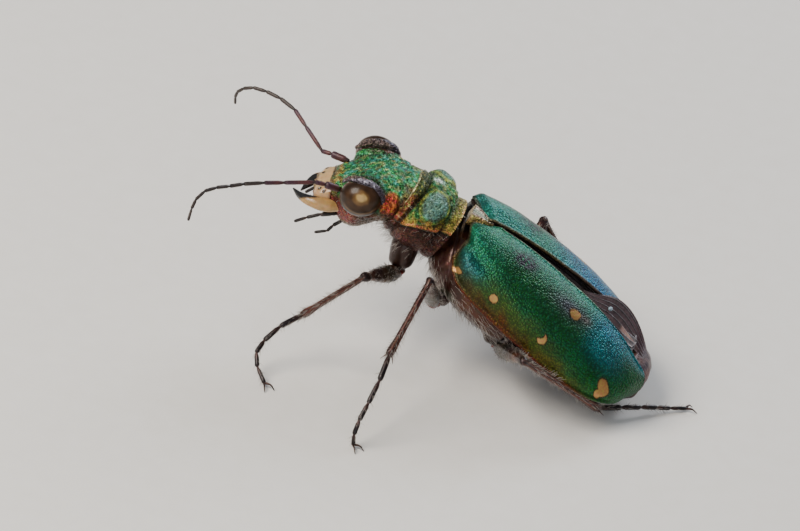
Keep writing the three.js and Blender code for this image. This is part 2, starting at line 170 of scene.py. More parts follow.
def addPiece(name, points, quads, triangles, material, nodes, paint, uv, uvName="skinMap"):
    # one mesh from whole arrays: corner points, four-sided and three-sided faces, paint and a flat map
    mesh = bpy.data.meshes.new(name)
    loops = np.concatenate([quads.ravel(), triangles.ravel()]).astype(np.int32)
    counts = np.concatenate([np.full(len(quads), 4), np.full(len(triangles), 3)]).astype(np.int32)
    mesh.vertices.add(len(points))
    mesh.vertices.foreach_set("co", (points * mm).astype(np.float32).ravel())
    mesh.loops.add(len(loops))
    mesh.loops.foreach_set("vertex_index", loops)
    mesh.polygons.add(len(counts))
    mesh.polygons.foreach_set("loop_start", np.concatenate([[0], np.cumsum(counts)[:-1]]).astype(np.int32))
    mesh.polygons.foreach_set("use_smooth", np.ones(len(counts), bool))
    mesh.update(calc_edges=True)
    layer = mesh.attributes.new("paint", "FLOAT_COLOR", "POINT")
    layer.data.foreach_set("color", paint.astype(np.float32).ravel())
    layer = mesh.uv_layers.new(name=uvName)
    layer.data.foreach_set("uv", uv[loops].astype(np.float32).ravel())
    mesh.validate()
    piece = bpy.data.objects.new(name, mesh)
    bpy.context.scene.collection.objects.link(piece)
    piece.data.materials.append(material)
    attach(piece, "root")
    if nodes:
        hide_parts(*nodes)
    return piece


def gridFaces(rows, columns):
    # quads of a grid that closes on itself in its second way, with fans to a middle point at both ends
    r, c = np.meshgrid(np.arange(rows - 1), np.arange(columns), indexing="ij")
    a = r * columns + c
    b = r * columns + (c + 1) % columns
    quads = np.stack([a, b, b + columns, a + columns], -1).reshape(-1, 4)
    c = np.arange(columns)
    n = (c + 1) % columns
    low = np.stack([n, c, np.full(columns, rows * columns)], -1)
    top = (rows - 1) * columns
    high = np.stack([top + c, top + n, np.full(columns, rows * columns + 1)], -1)
    return quads, np.concatenate([low, high])


def joinedPiece(name, parts, place, material, nodes):
    # closed skins in one mesh: each a grid of rings in a frame's millimetres, and its paint; where the
    # faces enclose a negative volume they are turned to point out
    allPoints, allQuads, allTriangles, allPaint, allUv, shift = [], [], [], [], [], 0
    for grid, paint in parts:
        world = inFrame(grid, place)
        rows, columns = world.shape[:2]
        points = np.concatenate([world.reshape(-1, 3), [world[0].mean(0), world[-1].mean(0)]])
        quads, triangles = gridFaces(rows, columns)
        a, b, c, d = (points[quads[:, k]] for k in range(4))
        ends = points[triangles]
        volume = (a * np.cross(b, c)).sum() + (a * np.cross(c, d)).sum()
        volume += (ends[:, 0] * np.cross(ends[:, 1], ends[:, 2])).sum()
        if volume < 0:
            quads, triangles = quads[:, ::-1], triangles[:, ::-1]
        allPoints.append(points)
        allQuads.append(quads + shift)
        allTriangles.append(triangles + shift)
        allPaint.append(np.concatenate([paint.reshape(-1, 4), [paint[0].mean(0), paint[-1].mean(0)]]))
        v, u = np.meshgrid(np.linspace(0, 1, rows), np.linspace(0, 1, columns), indexing="ij")
        allUv.append(np.concatenate([np.stack([u, v], -1).reshape(-1, 2), [[0.5, 0], [0.5, 1]]]))
        shift += len(points)
    arrays = [np.concatenate(part) for part in (allPoints, allQuads, allTriangles, allPaint, allUv)]
    points, quads, triangles, paint, uv = arrays
    return addPiece(name, points, quads, triangles, material, nodes, paint, uv)


def skinPiece(name, grid, place, material, nodes, paint):
    # one closed skin
    return joinedPiece(name, [(grid, paint)], place, material, nodes)


def barrel(stops, rows, columns, squareness):
    # rings square to y, each a squarish oval: half width, top, bottom and the height of the widest place
    first, last = stops[0][0], stops[-1][0]
    y = first + (last - first) * (1 - np.cos(np.pi * np.linspace(0, 1, rows))) / 2
    halfWidth, top, bottom, middle = through(stops, y).T
    angle = np.linspace(0, 2 * np.pi, columns, endpoint=False)
    up = np.sin(angle)
    height = np.where(up > 0, (top - middle)[:, None], (middle - bottom)[:, None])
    x = halfWidth[:, None] * power(np.cos(angle), 2 / squareness)
    z = middle[:, None] + height * power(up, 2 / squareness)
    return np.stack([x, np.broadcast_to(y[:, None], x.shape), z], -1)


def ball(rows, columns, pole):
    # a ball of radius 1 as rings round x: (cos p, sin p cos a, sin p sin a), from an angle off each pole
    angle = np.linspace(0, 2 * np.pi, columns, endpoint=False)
    p = np.linspace(pole, np.pi - pole, rows)[:, None]
    return np.stack([np.cos(p) + 0 * angle, np.sin(p) * np.cos(angle), np.sin(p) * np.sin(angle)], -1)


def shareAlong(grid):
    # for every point of a grid how far along it lies, 0 at its first ring and 1 at its last
    return np.linspace(0, 1, len(grid))[:, None] + 0 * grid[..., 0]


def tube(path, radii, columns, flat=1):
    # rings square to a path of points, each with its own radius; the ends are rounded off
    path, radii = np.asarray(path, float), np.asarray(radii, float)
    tangents = np.gradient(path, axis=0)
    tangents /= np.linalg.norm(tangents, axis=1, keepdims=True)
    start, end = tangents[0], tangents[-1]
    k = np.linspace(0, 1, 5)[:-1]
    capRadius = np.sqrt(1 - (1 - k) ** 2) * 0.98 + 0.02
    before = path[0] - start * radii[0] * (1 - k)[:, None]
    after = path[-1] + end * radii[-1] * (1 - k[::-1])[:, None]
    path = np.concatenate([before, path, after])
    radii = np.concatenate([radii[0] * capRadius, radii, radii[-1] * capRadius[::-1]])
    tangents = np.concatenate([np.repeat(start[None], 4, 0), tangents, np.repeat(end[None], 4, 0)])
    across = np.cross([0.31, 0.22, 1.0], tangents[0])
    sides = np.empty_like(path)
    for i, tangent in enumerate(tangents):
        across = across - tangent * (across @ tangent)
        across /= np.linalg.norm(across)
        sides[i] = across
    ups = np.cross(tangents, sides)
    angle = np.linspace(0, 2 * np.pi, columns, endpoint=False)
    c, s = np.cos(angle)[None, :, None], np.sin(angle)[None, :, None]
    return path[:, None] + radii[:, None, None] * (sides[:, None] * c + ups[:, None] * s * flat)


def between(a, b, share):
    # points on the straight line from a to b
    a, b = np.asarray(a, float), np.asarray(b, float)
    return a + (b - a) * np.asarray(share, float)[..., None]


def smoothPath(points, count):
    # a smooth run of points through a few joints, spaced by their distance
    points = np.asarray(points, float)
    steps = np.concatenate([[0], np.cumsum(np.linalg.norm(np.diff(points, axis=0), axis=1))])
    return through(np.column_stack([steps, points]), np.linspace(0, steps[-1], count))


# Materials. Insect cuticle is chitin, a hard natural plastic whose index is about 1.56; the metallic
# colours come from thin layers in it, so they are given here as a metal's own colour.
def addNode(tree, kind, settings=None, links=None):
    node = tree.nodes.new(kind)
    for key, value in (settings or {}).items():
        if isinstance(key, int) or key in node.inputs:
            node.inputs[key].default_value = value
        else:
            setattr(node, key, value)
    for key, source in (links or {}).items():
        tree.links.new(source, node.inputs[key])
    return node


def mapped(tree, value, span, result):
    # a number moved from one span onto another
    node = addNode(
        tree,
        "ShaderNodeMapRange",
        {"From Min": span[0], "From Max": span[1], "To Min": result[0], "To Max": result[1]},
        {"Value": value},
    )
    return node.outputs[0]


def newMaterial(name, shader):
    # an empty material with its surface shader, whose fixed numbers are set on the shader's own sockets
    material = bpy.data.materials.new(name)
    material.use_nodes = True
    tree = material.node_tree
    tree.nodes.clear()
    surface = addNode(tree, "ShaderNodeBsdfPrincipled", shader)
    addNode(tree, "ShaderNodeOutputMaterial", None, {"Surface": surface.outputs[0]})
    coordinates = addNode(tree, "ShaderNodeTexCoord")
    return material, tree, surface, coordinates.outputs["Object"]


def paintedChitin(name, shader, grain):
    # Cuticle whose colour is painted on its points. grain gives the size in mm of its pits, how deep they
    # are in mm, how dark they are painted, which is painted shade in each pit, and the size and depth of
    # the finer wrinkles between them. Pits with a negative depth and shade are grains: small domes with a
    # painted highlight at each middle, in a net of painted shade.
    material, tree, surface, place = newMaterial(name, shader)
    paint = addNode(tree, "ShaderNodeAttribute", {"attribute_name": "paint"})
    pits = addNode(
        tree,
        "ShaderNodeTexVoronoi",
        {"Scale": 1000 / grain["pitSize"], "Randomness": 0.9, "feature": "F1"},
        {"Vector": place},
    )
    wrinkles = addNode(
        tree,
        "ShaderNodeTexNoise",
        {
            "Scale": 1000 / grain["wrinkleSize"],
            "Detail": 3.0,
            "Roughness": 0.6,
            "Distortion": grain.get("twist", 0.0),
        },
        {"Vector": place},
    )
    patches = addNode(
        tree, "ShaderNodeTexNoise", {"Scale": 1000 / grain["patchSize"], "Detail": 2.0}, {"Vector": place}
    )
    depth = grain["tone"] * grain["pitShade"]
    # painted shade darkens each pit; with a negative shade each grain's middle gets a painted highlight
    pitShade = mapped(tree, pits.outputs["Distance"], (0.05, 0.6), (-depth, depth))
    grainShade = addNode(
        tree,
        "ShaderNodeMath",
        {"operation": "MULTIPLY_ADD", 2: grain["tone"]},
        {0: pitShade, 1: paint.outputs["Alpha"]},
    )
    patch = grain["patchShade"]
    patchShade = mapped(tree, patches.outputs["Fac"], (0.3, 0.7), (1 - patch, 1 + patch))
    shade = addNode(
        tree, "ShaderNodeMath", {"operation": "MULTIPLY"}, {0: grainShade.outputs[0], 1: patchShade}
    )
    shift = grain["hueShift"]
    hue = mapped(tree, wrinkles.outputs["Fac"], (0.3, 0.7), (0.5 - shift, 0.5 + shift))
    colour = addNode(
        tree,
        "ShaderNodeHueSaturation",
        {"Saturation": grain.get("saturation", 1.0)},
        {"Hue": hue, "Value": shade.outputs[0], "Color": paint.outputs["Color"]},
    )
    rough = mapped(tree, wrinkles.outputs["Fac"], (0.0, 1.0), grain["rough"])
    pitBump = addNode(
        tree,
        "ShaderNodeBump",
        {"Distance": grain["pitDepth"] * mm},
        {"Height": pits.outputs["Distance"], "Strength": paint.outputs["Alpha"]},
    )
    wrinkleBump = addNode(
        tree,
        "ShaderNodeBump",
        {"Strength": 1.0, "Distance": grain["wrinkleDepth"] * mm},
        {"Height": wrinkles.outputs["Fac"], "Normal": pitBump.outputs["Normal"]},
    )
    tree.links.new(colour.outputs[0], surface.inputs["Base Color"])
    tree.links.new(rough, surface.inputs["Roughness"])
    tree.links.new(wrinkleBump.outputs["Normal"], surface.inputs["Normal"])
    return material


# Wing case cuticle: layered chitin cast in close-set pits, so it glitters like fine shagreen; the bright
# middle of each grain is a painted highlight and the dark net between them painted shade.
wingCaseChitin = paintedChitin(
    "wingCaseChitin",
    {"Metallic": 0.7, "Coat Weight": 0.06, "Coat Roughness": 0.25},
    {
        "tone": 0.74,
        "saturation": 1.1,
        "pitSize": 0.07,
        "pitDepth": -0.025,
        "pitShade": -0.45,
        "wrinkleSize": 0.08,
        "wrinkleDepth": 0.012,
        "patchSize": 0.7,
        "patchShade": 0.22,
        "hueShift": 0.04,
        "rough": (0.3, 0.48),
    },
)
# Head and neck shield cuticle: the same layers, drawn into fine wrinkles with gold on their crests.
shieldChitin = paintedChitin(
    "shieldChitin",
    {"Metallic": 0.75, "Coat Weight": 0.08, "Coat Roughness": 0.2},
    {
        "tone": 1.0,
        "saturation": 0.95,
        "pitSize": 0.075,
        "pitDepth": 0.05,
        "pitShade": 0.95,
        "wrinkleSize": 0.11,
        "wrinkleDepth": 0.09,
        "twist": 0.4,
        "patchSize": 0.4,
        "patchShade": 0.45,
        "hueShift": 0.05,
        "rough": (0.18, 0.4),
    },
)
# Leg and breast cuticle: smoother chitin with a copper and purple sheen.
copperChitin = paintedChitin(
    "copperChitin",
    {"Metallic": 0.55, "Coat Weight": 0.2, "Coat Roughness": 0.15},
    {
        "tone": 0.8,
        "pitSize": 0.16,
        "pitDepth": 0.008,
        "pitShade": 0.25,
        "wrinkleSize": 0.1,
        "wrinkleDepth": 0.015,
        "patchSize": 0.6,
        "patchShade": 0.25,
        "hueShift": 0.03,
        "rough": (0.22, 0.4),
    },
)
# Feeler cuticle: dull chitin under very short down.
feelerChitin = paintedChitin(
    "feelerChitin",
    {"Metallic": 0.3, "Coat Weight": 0.15, "Coat Roughness": 0.2},
    {
        "tone": 0.8,
        "pitSize": 0.06,
        "pitDepth": 0.006,
        "pitShade": 0.3,
        "wrinkleSize": 0.08,
        "wrinkleDepth": 0.01,
        "patchSize": 0.4,
        "patchShade": 0.2,
        "hueShift": 0.02,
        "rough": (0.35, 0.55),
    },
)
# Lip and jaw cuticle: unpigmented chitin, like ivory, a little see-through under a smooth skin.
ivoryChitin = paintedChitin(
    "ivoryChitin",
    {
        "Metallic": 0.0,
        "IOR": 1.56,
        "Coat Weight": 0.4,
        "Coat Roughness": 0.15,
        "Subsurface Weight": 0.15,
        "Subsurface Scale": 0.0002,
    },
    {
        "tone": 0.72,
        "pitSize": 0.12,
        "pitDepth": 0.006,
        "pitShade": 0.08,
        "wrinkleSize": 0.12,
        "wrinkleDepth": 0.01,
        "patchSize": 0.4,
        "patchShade": 0.1,
        "hueShift": 0.01,
        "rough": (0.25, 0.4),
    },
)
# Hind body and folded wing cuticle: thin dark plates with a dull satin skin.
plateChitin = paintedChitin(
    "plateChitin",
    {"Metallic": 0.3, "IOR": 1.56, "Coat Weight": 0.1, "Coat Roughness": 0.3},
    {
        "tone": 0.75,
        "pitSize": 0.12,
        "pitDepth": 0.008,
        "pitShade": 0.3,
        "wrinkleSize": 0.12,
        "wrinkleDepth": 0.02,
        "patchSize": 0.6,
        "patchShade": 0.25,
        "hueShift": 0.03,
        "rough": (0.32, 0.5),
    },
)


# Eye lenses: clear chitin over dark pigment, thousands of six-sided facets about 0.03 mm wide.
def makeEyeMaterial():
    material, tree, surface, place = newMaterial(
        "eyeLensChitin",
        {
            "IOR": 1.56,
            "Specular IOR Level": 0.2,
            "Roughness": 0.3,
            "Coat Weight": 0.1,
            "Coat Roughness": 0.06,
        },
    )
    paint = addNode(tree, "ShaderNodeAttribute", {"attribute_name": "paint"})
    facets = addNode(
        tree,
        "ShaderNodeTexVoronoi",
        {"Scale": 1000 / 0.045, "Randomness": 0.25, "feature": "F1"},
        {"Vector": place},
    )
    facetBump = addNode(
        tree,
        "ShaderNodeBump",
        {"Strength": 0.6, "Distance": 0.003 * mm, "invert": True},
        {"Height": facets.outputs["Distance"]},
    )
    mottle = addNode(tree, "ShaderNodeTexNoise", {"Scale": 1000 / 0.3, "Detail": 3.0}, {"Vector": place})
    shade = mapped(tree, mottle.outputs["Fac"], (0.3, 0.7), (0.7, 1.3))
    colour = addNode(
        tree, "ShaderNodeHueSaturation", None, {"Value": shade, "Color": paint.outputs["Color"]}
    )
    tree.links.new(colour.outputs[0], surface.inputs["Base Color"])
    tree.links.new(facetBump.outputs["Normal"], surface.inputs["Normal"])
    return material


eyeLensChitin = makeEyeMaterial()


# Bristles: thin horn-like hairs, clear to pale at their tips, so they catch the light.
def makeBristleMaterial(name, root, tip, roughness):
    material, tree, surface, place = newMaterial(
        name, {"IOR": 1.55, "Roughness": roughness, "Sheen Weight": 0.3, "Sheen Roughness": 0.4}
    )
    paint = addNode(tree, "ShaderNodeAttribute", {"attribute_name": "paint"})
    grain = addNode(tree, "ShaderNodeTexNoise", {"Scale": 1000 / 0.15, "Detail": 2.0}, {"Vector": place})
    shade = mapped(tree, grain.outputs["Fac"], (0.3, 0.7), (0.8, 1.2))
    mixed = addNode(
        tree,
        "ShaderNodeMix",
        {"data_type": "RGBA", 6: (*linear(root), 1), 7: (*linear(tip), 1)},
        {0: paint.outputs["Fac"]},
    )
    colour = addNode(tree, "ShaderNodeHueSaturation", None, {"Value": shade, "Color": mixed.outputs[2]})
    tree.links.new(colour.outputs[0], surface.inputs["Base Color"])
    return material


whiteBristle = makeBristleMaterial("whiteBristle", "6a5a4c", "d8d0c6", 0.4)
print("materials made")


# Wing cases. Along a case s runs 0 to 1; across it an arc runs from the seam at the top to the outer edge
# by an angle a: x = width sin(a)^0.9, z = edge + height cos(a)^p, where p grows from 0.8 at the shoulder to
# 1.55 at the tip. The front edge is notched at the seam: front + notch exp(-(sin(a) / notchWidth)^2).
wingCase = {
    "length": 8.05,
    "width": 2.62,
    "height": 1.96,
    "wall": 0.16,
    "front": 0.28,
    "notch": 0.4,
    "notchWidth": 0.24,
    # how far the front edge bows forward between seam and shoulder, and how far the end bulges, in mm
    "frontLobe": 0.27,
    "endBulge": 0.22,
    "widths": [
        (0, 0.5),
        (0.035, 0.7),
        (0.1, 0.82),
        (0.25, 0.91),
        (0.45, 0.98),
        (0.62, 1),
        (0.78, 0.97),
        (0.88, 0.85),
        (0.95, 0.62),
        (1, 0.24),
    ],
    "heights": [
        (0, 0.68),
        (0.05, 0.88),
        (0.2, 1),
        (0.45, 1),
        (0.65, 0.93),
        (0.82, 0.76),
        (0.93, 0.58),
        (1, 0.46),
    ],
    "edges": [(0, 0.35), (0.08, 0.08), (0.3, 0), (0.7, 0.02), (1, 0.12)],
    "left": {"splay": -5.5, "roll": 0, "droop": 0, "shift": (0.05, 0, 0)},
    "right": {"splay": 6, "roll": 2, "droop": 1.2, "shift": (-0.1, -0.3, 0.12)},
    "hinge": (0, 0.3, 1.6),
    # how far each case's seam edge bends down, in mm
    "seamDrop": {"left": 0.05, "right": 0.24},
    # cream spots: place along 0..1, place across 0..1, half length and half width in mm
    "spots": [
        (0.03, 0.985, 0.26, 0.1),
        (0.241, 0.829, 0.16, 0.14),
        (0.519, 0.739, 0.17, 0.18),
        (0.586, 0.288, 0.22, 0.2),
        (0.872, 0.669, 0.25, 0.22),
        (0.868, 0.79, 0.13, 0.13),
    ],
    # a dark bay bitten out of the third spot: place along, place across, half size in mm
    "bite": (0.499, 0.7, 0.2),
}


def wingCaseSkin(rows=300, columns=110):
    # the outer arc and, one wall inside it, the inner arc, joined at seam and edge into closed rings
    t = 0.5 - np.cos(np.pi * (0.08 + 0.92 * np.linspace(0, 1, rows))) / 2
    s = (t - t[0]) / (1 - t[0])
    width = wingCase["width"] * through(wingCase["widths"], s)
    height = wingCase["height"] * through(wingCase["heights"], s)
    edge = through(wingCase["edges"], s)
    a = np.linspace(0, np.pi / 2, columns)[None]
    front = wingCase["front"] + wingCase["notch"] * np.exp(-((np.sin(a) / wingCase["notchWidth"]) ** 2))
    front = front - wingCase["frontLobe"] * bump(np.sin(a), 0.48, 0.28)
    y = front + (wingCase["length"] - front) * s[:, None]
    y = y + wingCase["endBulge"] * rise(s, 0.84, 1.0)[:, None] * np.sin(2 * a)
    roundness = 0.8 + 0.75 * rise(s, 0.2, 1.0)[:, None]

    def arc(w, h):
        x = w[:, None] * np.sin(a) ** 0.9
        z = edge[:, None] + h[:, None] * np.cos(a) ** roundness
        return np.stack([x, y, z], -1)

    outer = arc(width, height)
    wall = np.minimum(wingCase["wall"], 0.5 * np.minimum(width, height))
    inner = arc(width - wall, height - 0.6 * wall)
    across = np.broadcast_to(a / (np.pi / 2), outer.shape[:2])
    along = np.broadcast_to(s[:, None], outer.shape[:2])
    normals = np.cross(np.gradient(outer, axis=0), np.gradient(outer, axis=1))
    normals /= np.maximum(np.linalg.norm(normals, axis=2, keepdims=True), 1e-9)
    if normals[rows // 2, columns // 4, 2] < 0:
        normals = -normals
    # distance in mm from the seam and from the outer edge, along the arc
    step = np.linalg.norm(np.diff(outer, axis=1), axis=2)
    fromSeam = np.concatenate([np.zeros((rows, 1)), np.cumsum(step, 1)], 1)
    fromEdge = fromSeam[:, -1:] - fromSeam
    fromTip = wingCase["length"] * (1 - along)
    push = 0.03 * bump(fromSeam, 0.06, 0.05) + 0.045 * bump(fromEdge, 0.05, 0.05)
    push -= 0.03 * bump(fromEdge, 0.17, 0.07) + 0.015 * bump(fromSeam, 0.16, 0.07)
    push += 0.008 * waves(outer, 1.6, 3) + 0.004 * waves(outer, 0.45, 4)
    # the shoulder: a soft boss with a hollow inside it that runs back along the case
    push -= 0.11 * bump(along, 0.09, 0.08) * bump(across, 0.62, 0.08)
    push += 0.08 * bump(along, 0.07, 0.06) * bump(across, 0.78, 0.09)
    push *= rise(fromTip, 0.0, 0.25)
    outer = outer + normals * push[..., None]
    return outer, inner, along, across, fromSeam, fromEdge


def wingCasePaint(outer, along, across, fromSeam, fromEdge, paintFarSheen):
    # teal green, bluer to the rear, olive and copper brown towards the outer edge, brown rims; a cyan-blue
    # painted sheen on the shoulder, and on the far case a painted sheen that makes it bluer over its rear
    # half
    mottle = waves(outer, 0.5, 12)
    paint = painted(along.shape, "1f6038")
    brush(paint, "2f8a6c", 0.85 * rise(along, 0.3, 0.02) * rise(across, 0.95, 0.4))
    # painted sheen: cyan-blue on the shoulder's boss
    brush(paint, "2a7f92", 0.85 * bump(along, 0.07, 0.07) * bump(across, 0.78, 0.12))
    brush(paint, "238a76", 0.7 * rise(across, 0.35, 0.0) * rise(along, 0.05, 0.2))
    brush(paint, "157a86", 0.9 * rise(along, 0.62, 0.76) * rise(across, 0.62, 0.3))
    brush(paint, "12708a", 0.7 * bump(along, 0.74, 0.1) * bump(across, 0.1, 0.14))
    brush(paint, "2f8486", 0.6 * bump(along, 0.78, 0.07) * bump(across, 0.3, 0.12))
    brush(paint, "0b5c2c", 0.95 * rise(along, 0.82, 0.94) * rise(across, 0.0, 0.25))
    brush(paint, "0b6a38", 0.8 * rise(along, 0.7, 0.86) * rise(across, 0.5, 0.72))
    brush(paint, "4a5a1a", 0.8 * bump(along, 0.42, 0.42) * rise(across + 0.04 * mottle, 0.6, 0.84))
    brush(paint, "5c3618", 0.9 * bump(along, 0.36, 0.36) * rise(across + 0.05 * mottle, 0.8, 0.97))
    brush(paint, "6a6420", 0.6 * bump(along, 0.64, 0.12) * rise(across + 0.05 * mottle, 0.72, 0.9))
    patch = bump(along, 0.27, 0.05) * bump(across, 0.22, 0.09)
    brush(paint, "140e20", 1.8 * patch * rise(waves(outer, 0.14, 13), -0.8, 0.0))
    brush(paint, "4c4454", 0.85 * bump(along, 0.55, 0.1) * bump(across, 0.27, 0.11))
    brush(paint, "6a3a3a", 0.5 * bump(along, 0.64, 0.03) * bump(across, 0.24, 0.05))
    # painted sheen: the far case bluer over its rear half and paler teal at its front, the colour it shows
    # from its angle; in life both cases are alike
    if paintFarSheen:
        brush(paint, "0f6f98", 0.95 * rise(along, 0.3, 0.65) * rise(across, 1.1, 0.1))
        brush(paint, "3c8f86", 0.7 * rise(along, 0.35, 0.1))
    brush(paint, "6a3420", rise(fromEdge, 0.13, 0.05) * rise(along, 0.9, 0.7))
    brush(paint, "7a5a34", 0.8 * rise(fromSeam, 0.09, 0.03) * rise(along, 0.85, 0.7))
    brush(paint, "5a3a22", 0.7 * rise(along, 0.012, 0.004))
    shape = np.full(along.shape, 9.0)
    for spotAlong, spotAcross, halfLength, halfWidth in wingCase["spots"]:
        row = np.argmin(np.abs(along[:, 0] - spotAlong))
        centre = fromSeam[row, int(spotAcross * (along.shape[1] - 1))]
        y = (along - spotAlong) * wingCase["length"] / halfLength
        shape = np.minimum(shape, np.hypot(y, (fromSeam - centre) / halfWidth))
    biteAlong, biteAcross, biteSize = wingCase["bite"]
    row = np.argmin(np.abs(along[:, 0] - biteAlong))
    centre = fromSeam[row, int(biteAcross * (along.shape[1] - 1))]
    bite = np.hypot((along - biteAlong) * wingCase["length"], fromSeam - centre) / biteSize
    shape = np.maximum(shape, 2.2 - 1.2 * bite)
    shape = shape * (1 + 0.16 * waves(outer, 0.3, 11))
    brush(paint, "3a2418", 0.8 * rise(shape, 1.4, 1.1))
    brush(paint, "c49a66", rise(shape, 1.08, 0.92))
    paint[..., 3] = 1 - 0.9 * rise(shape, 1.1, 0.95)
    return paint


def makeWingCases():
    outer, inner, along, across, fromSeam, fromEdge = wingCaseSkin()
    hinge = np.array(wingCase["hinge"])
    for name, side, node in (("wingCaseLeft", 1, "elytron_left"), ("wingCaseRight", -1, "elytron_right")):
        hang = wingCase["left" if side > 0 else "right"]
        pivot = np.zeros(3) if side > 0 else hinge
        place = (
            moved(pivot + (0 if side > 0 else hang["shift"]))
            @ turned("z", hang["splay"])
            @ turned("x", -hang["droop"])
            @ turned("y", -hang["roll"])
            @ moved((hang["shift"] if side > 0 else 0) - pivot)
        )
        drop = wingCase["seamDrop"]["left" if side > 0 else "right"]
        drop = drop * bump(fromSeam, 0.0, 0.6) * (1 - 0.6 * along)
        shell = np.concatenate([outer, inner[:, ::-1]], 1) * [side, 1, 1]
        shell[..., 2] -= np.concatenate([drop, drop[:, ::-1]], 1)
        shell[..., 0] += 0.5 * np.concatenate([drop, drop[:, ::-1]], 1)
        grid = inFrame(shell, place)
        top = wingCasePaint(outer, along, across, fromSeam, fromEdge, side < 0)
        under = painted(along.shape, "3a2722")
        paint = np.concatenate([top, under], 1)
        skinPiece(name, grid, trunkFrame, wingCaseChitin, [node], paint)


makeWingCases()
print("wing cases made")

# Neck shield (pronotum), in the trunk frame: [y, half width, top, bottom, height of the widest place].
shield = {
    "stops": [
        (-2.36, 1.14, 1.42, -0.75, 0.35),
        (-2.25, 1.22, 1.5, -0.82, 0.35),
        (-2.12, 1.31, 1.53, -0.86, 0.4),
        (-1.8, 1.5, 1.7, -0.9, 0.45),
        (-1.3, 1.52, 1.74, -0.92, 0.45),
        (-0.85, 1.35, 1.62, -0.9, 0.45),
        (-0.62, 1.22, 1.5, -0.86, 0.45),
        (-0.4, 1.26, 1.52, -0.8, 0.45),
    ],
    "frontFurrow": -2.02,
    "rearFurrow": -0.74,
    "furrowDepth": 0.13,
}


def makeShield():
    grid = barrel(shield["stops"], 170, 260, 2.3)
    x, y, z = np.moveaxis(grid, 2, 0)
    n = gridNormals(grid)
    wide = np.abs(x)
    # the line where the arched back meets the flat side, and each side's rounded boss above it
    border = z - (0.7 + 0.28 * (y + 1.2) - 0.25 * bump(y, -2.1, 0.35))
    upper = rise(border, -0.02, 0.12)
    fromBoss = np.sqrt(((wide - 1.1) / 0.75) ** 2 + ((y + 1.45) / 0.52) ** 2 + ((z - 1.38) / 0.55) ** 2)
    furrowFront = shield["frontFurrow"] - 0.1 * rise(wide, 0.5, 1.2)
    push = -shield["furrowDepth"] * bump(y, furrowFront, 0.07)
    push -= shield["furrowDepth"] * bump(y, shield["rearFurrow"], 0.09)
    push -= 0.05 * bump(x, 0, 0.05) * rise(y, -2.1, -1.9) * rise(y, -0.7, -0.9) * rise(z, 0.8, 1.2)
    push += 0.12 * rise(fromBoss, 1.1, 0.4) - 0.05 * bump(fromBoss, 1.2, 0.12) * upper
    push += 0.05 * (bump(y, -2.3, 0.035) + bump(y, -2.17, 0.03)) * rise(wide, 0.75, 1.0)
    push += 0.05 * bump(border, 0.02, 0.05) * rise(y, -2.2, -2.0)
    push -= 0.05 * bump(border, -0.12, 0.07)
    push -= 0.04 * rise(border, -0.1, -0.3)
    lumps = 0.016 * waves(grid, 0.3, 21) + 0.01 * waves(grid, 0.14, 22) + 0.005 * waves(grid, 0.08, 24)
    push += lumps * (0.25 + 0.75 * upper)
    grid = grid + n * push[..., None]
    gold = waves(grid, 0.22, 23)
    paint = painted(x.shape, "1f6a34")
    brush(paint, "7a7a2a", 0.8 * rise(gold, -0.2, 0.6) * upper)
    brush(paint, "10301c", 0.7 * rise(waves(grid, 0.15, 67), 0.1, 0.7) * upper)
    brush(paint, "4c6c64", 0.85 * rise(fromBoss, 0.95, 0.7) * upper)
    brush(paint, "8a8a34", 0.6 * bump(fromBoss, 1.0, 0.09) * upper)
    # painted shade: dark green in the groove round each boss
    brush(paint, "102a18", 0.75 * bump(fromBoss, 1.22, 0.1) * upper)
    # painted highlight: a silver-white patch on the top near the middle line
    brush(paint, "c8d4d0", 0.8 * bump(np.sqrt((x + 0.05) ** 2 + ((y + 1.76) / 1.4) ** 2), 0, 0.13) * upper)
    brush(paint, "8a6a22", 0.75 * bump(border, 0.2, 0.14) * rise(gold, -0.6, 0.4))
    brush(paint, "9a4a22", 0.8 * bump(border, 0.04, 0.07))
    brush(paint, "3a1712", 0.97 * rise(border, 0.02, -0.08))
    brush(paint, "4a2018", 0.5 * rise(border, -0.3, -0.8))
    brush(paint, "7a6a26", 0.8 * rise(y, -0.78, -0.62) * upper)
    brush(paint, "b08a4a", 0.7 * rise(y, -0.5, -0.42) * upper)
    brush(paint, "6a3018", 0.85 * rise(y, -2.02, -2.14) * rise(wide, 0.7, 1.0) * rise(border, -0.4, 0.0))
    brush(paint, "37381c", 0.85 * rise(y, -2.02, -2.12) * rise(wide, 1.0, 0.8) * upper)
    brush(paint, "8c8a3c", 0.7 * rise(y, -2.02, -2.12) * rise(waves(grid, 0.14, 70), 0.3, 0.8) * upper)
    brush(paint, "b0aa80", 0.7 * rise(y, -2.31, -2.335) * rise(z, 0.5, 0.8))
    # painted shade: near-black in the two furrows and along the groove under the border line
    furrowShade = bump(y, furrowFront, 0.06) + 0.8 * bump(y, shield["rearFurrow"], 0.07)
    brush(paint, "0e0a08", 0.85 * furrowShade * rise(z, -0.2, 0.2))
    brush(paint, "0e0a08", 0.8 * bump(border, -0.1, 0.05))
    skinPiece("neckShield", grid, trunkFrame, shieldChitin, ["pronotum"], paint)
    return grid


shieldGrid = makeShield()

# Small triangular shield between the wing cases.
littleShield = {"halfWidth": 0.42, "front": -0.15, "rear": 0.72, "height": 1.66, "depth": 0.5}


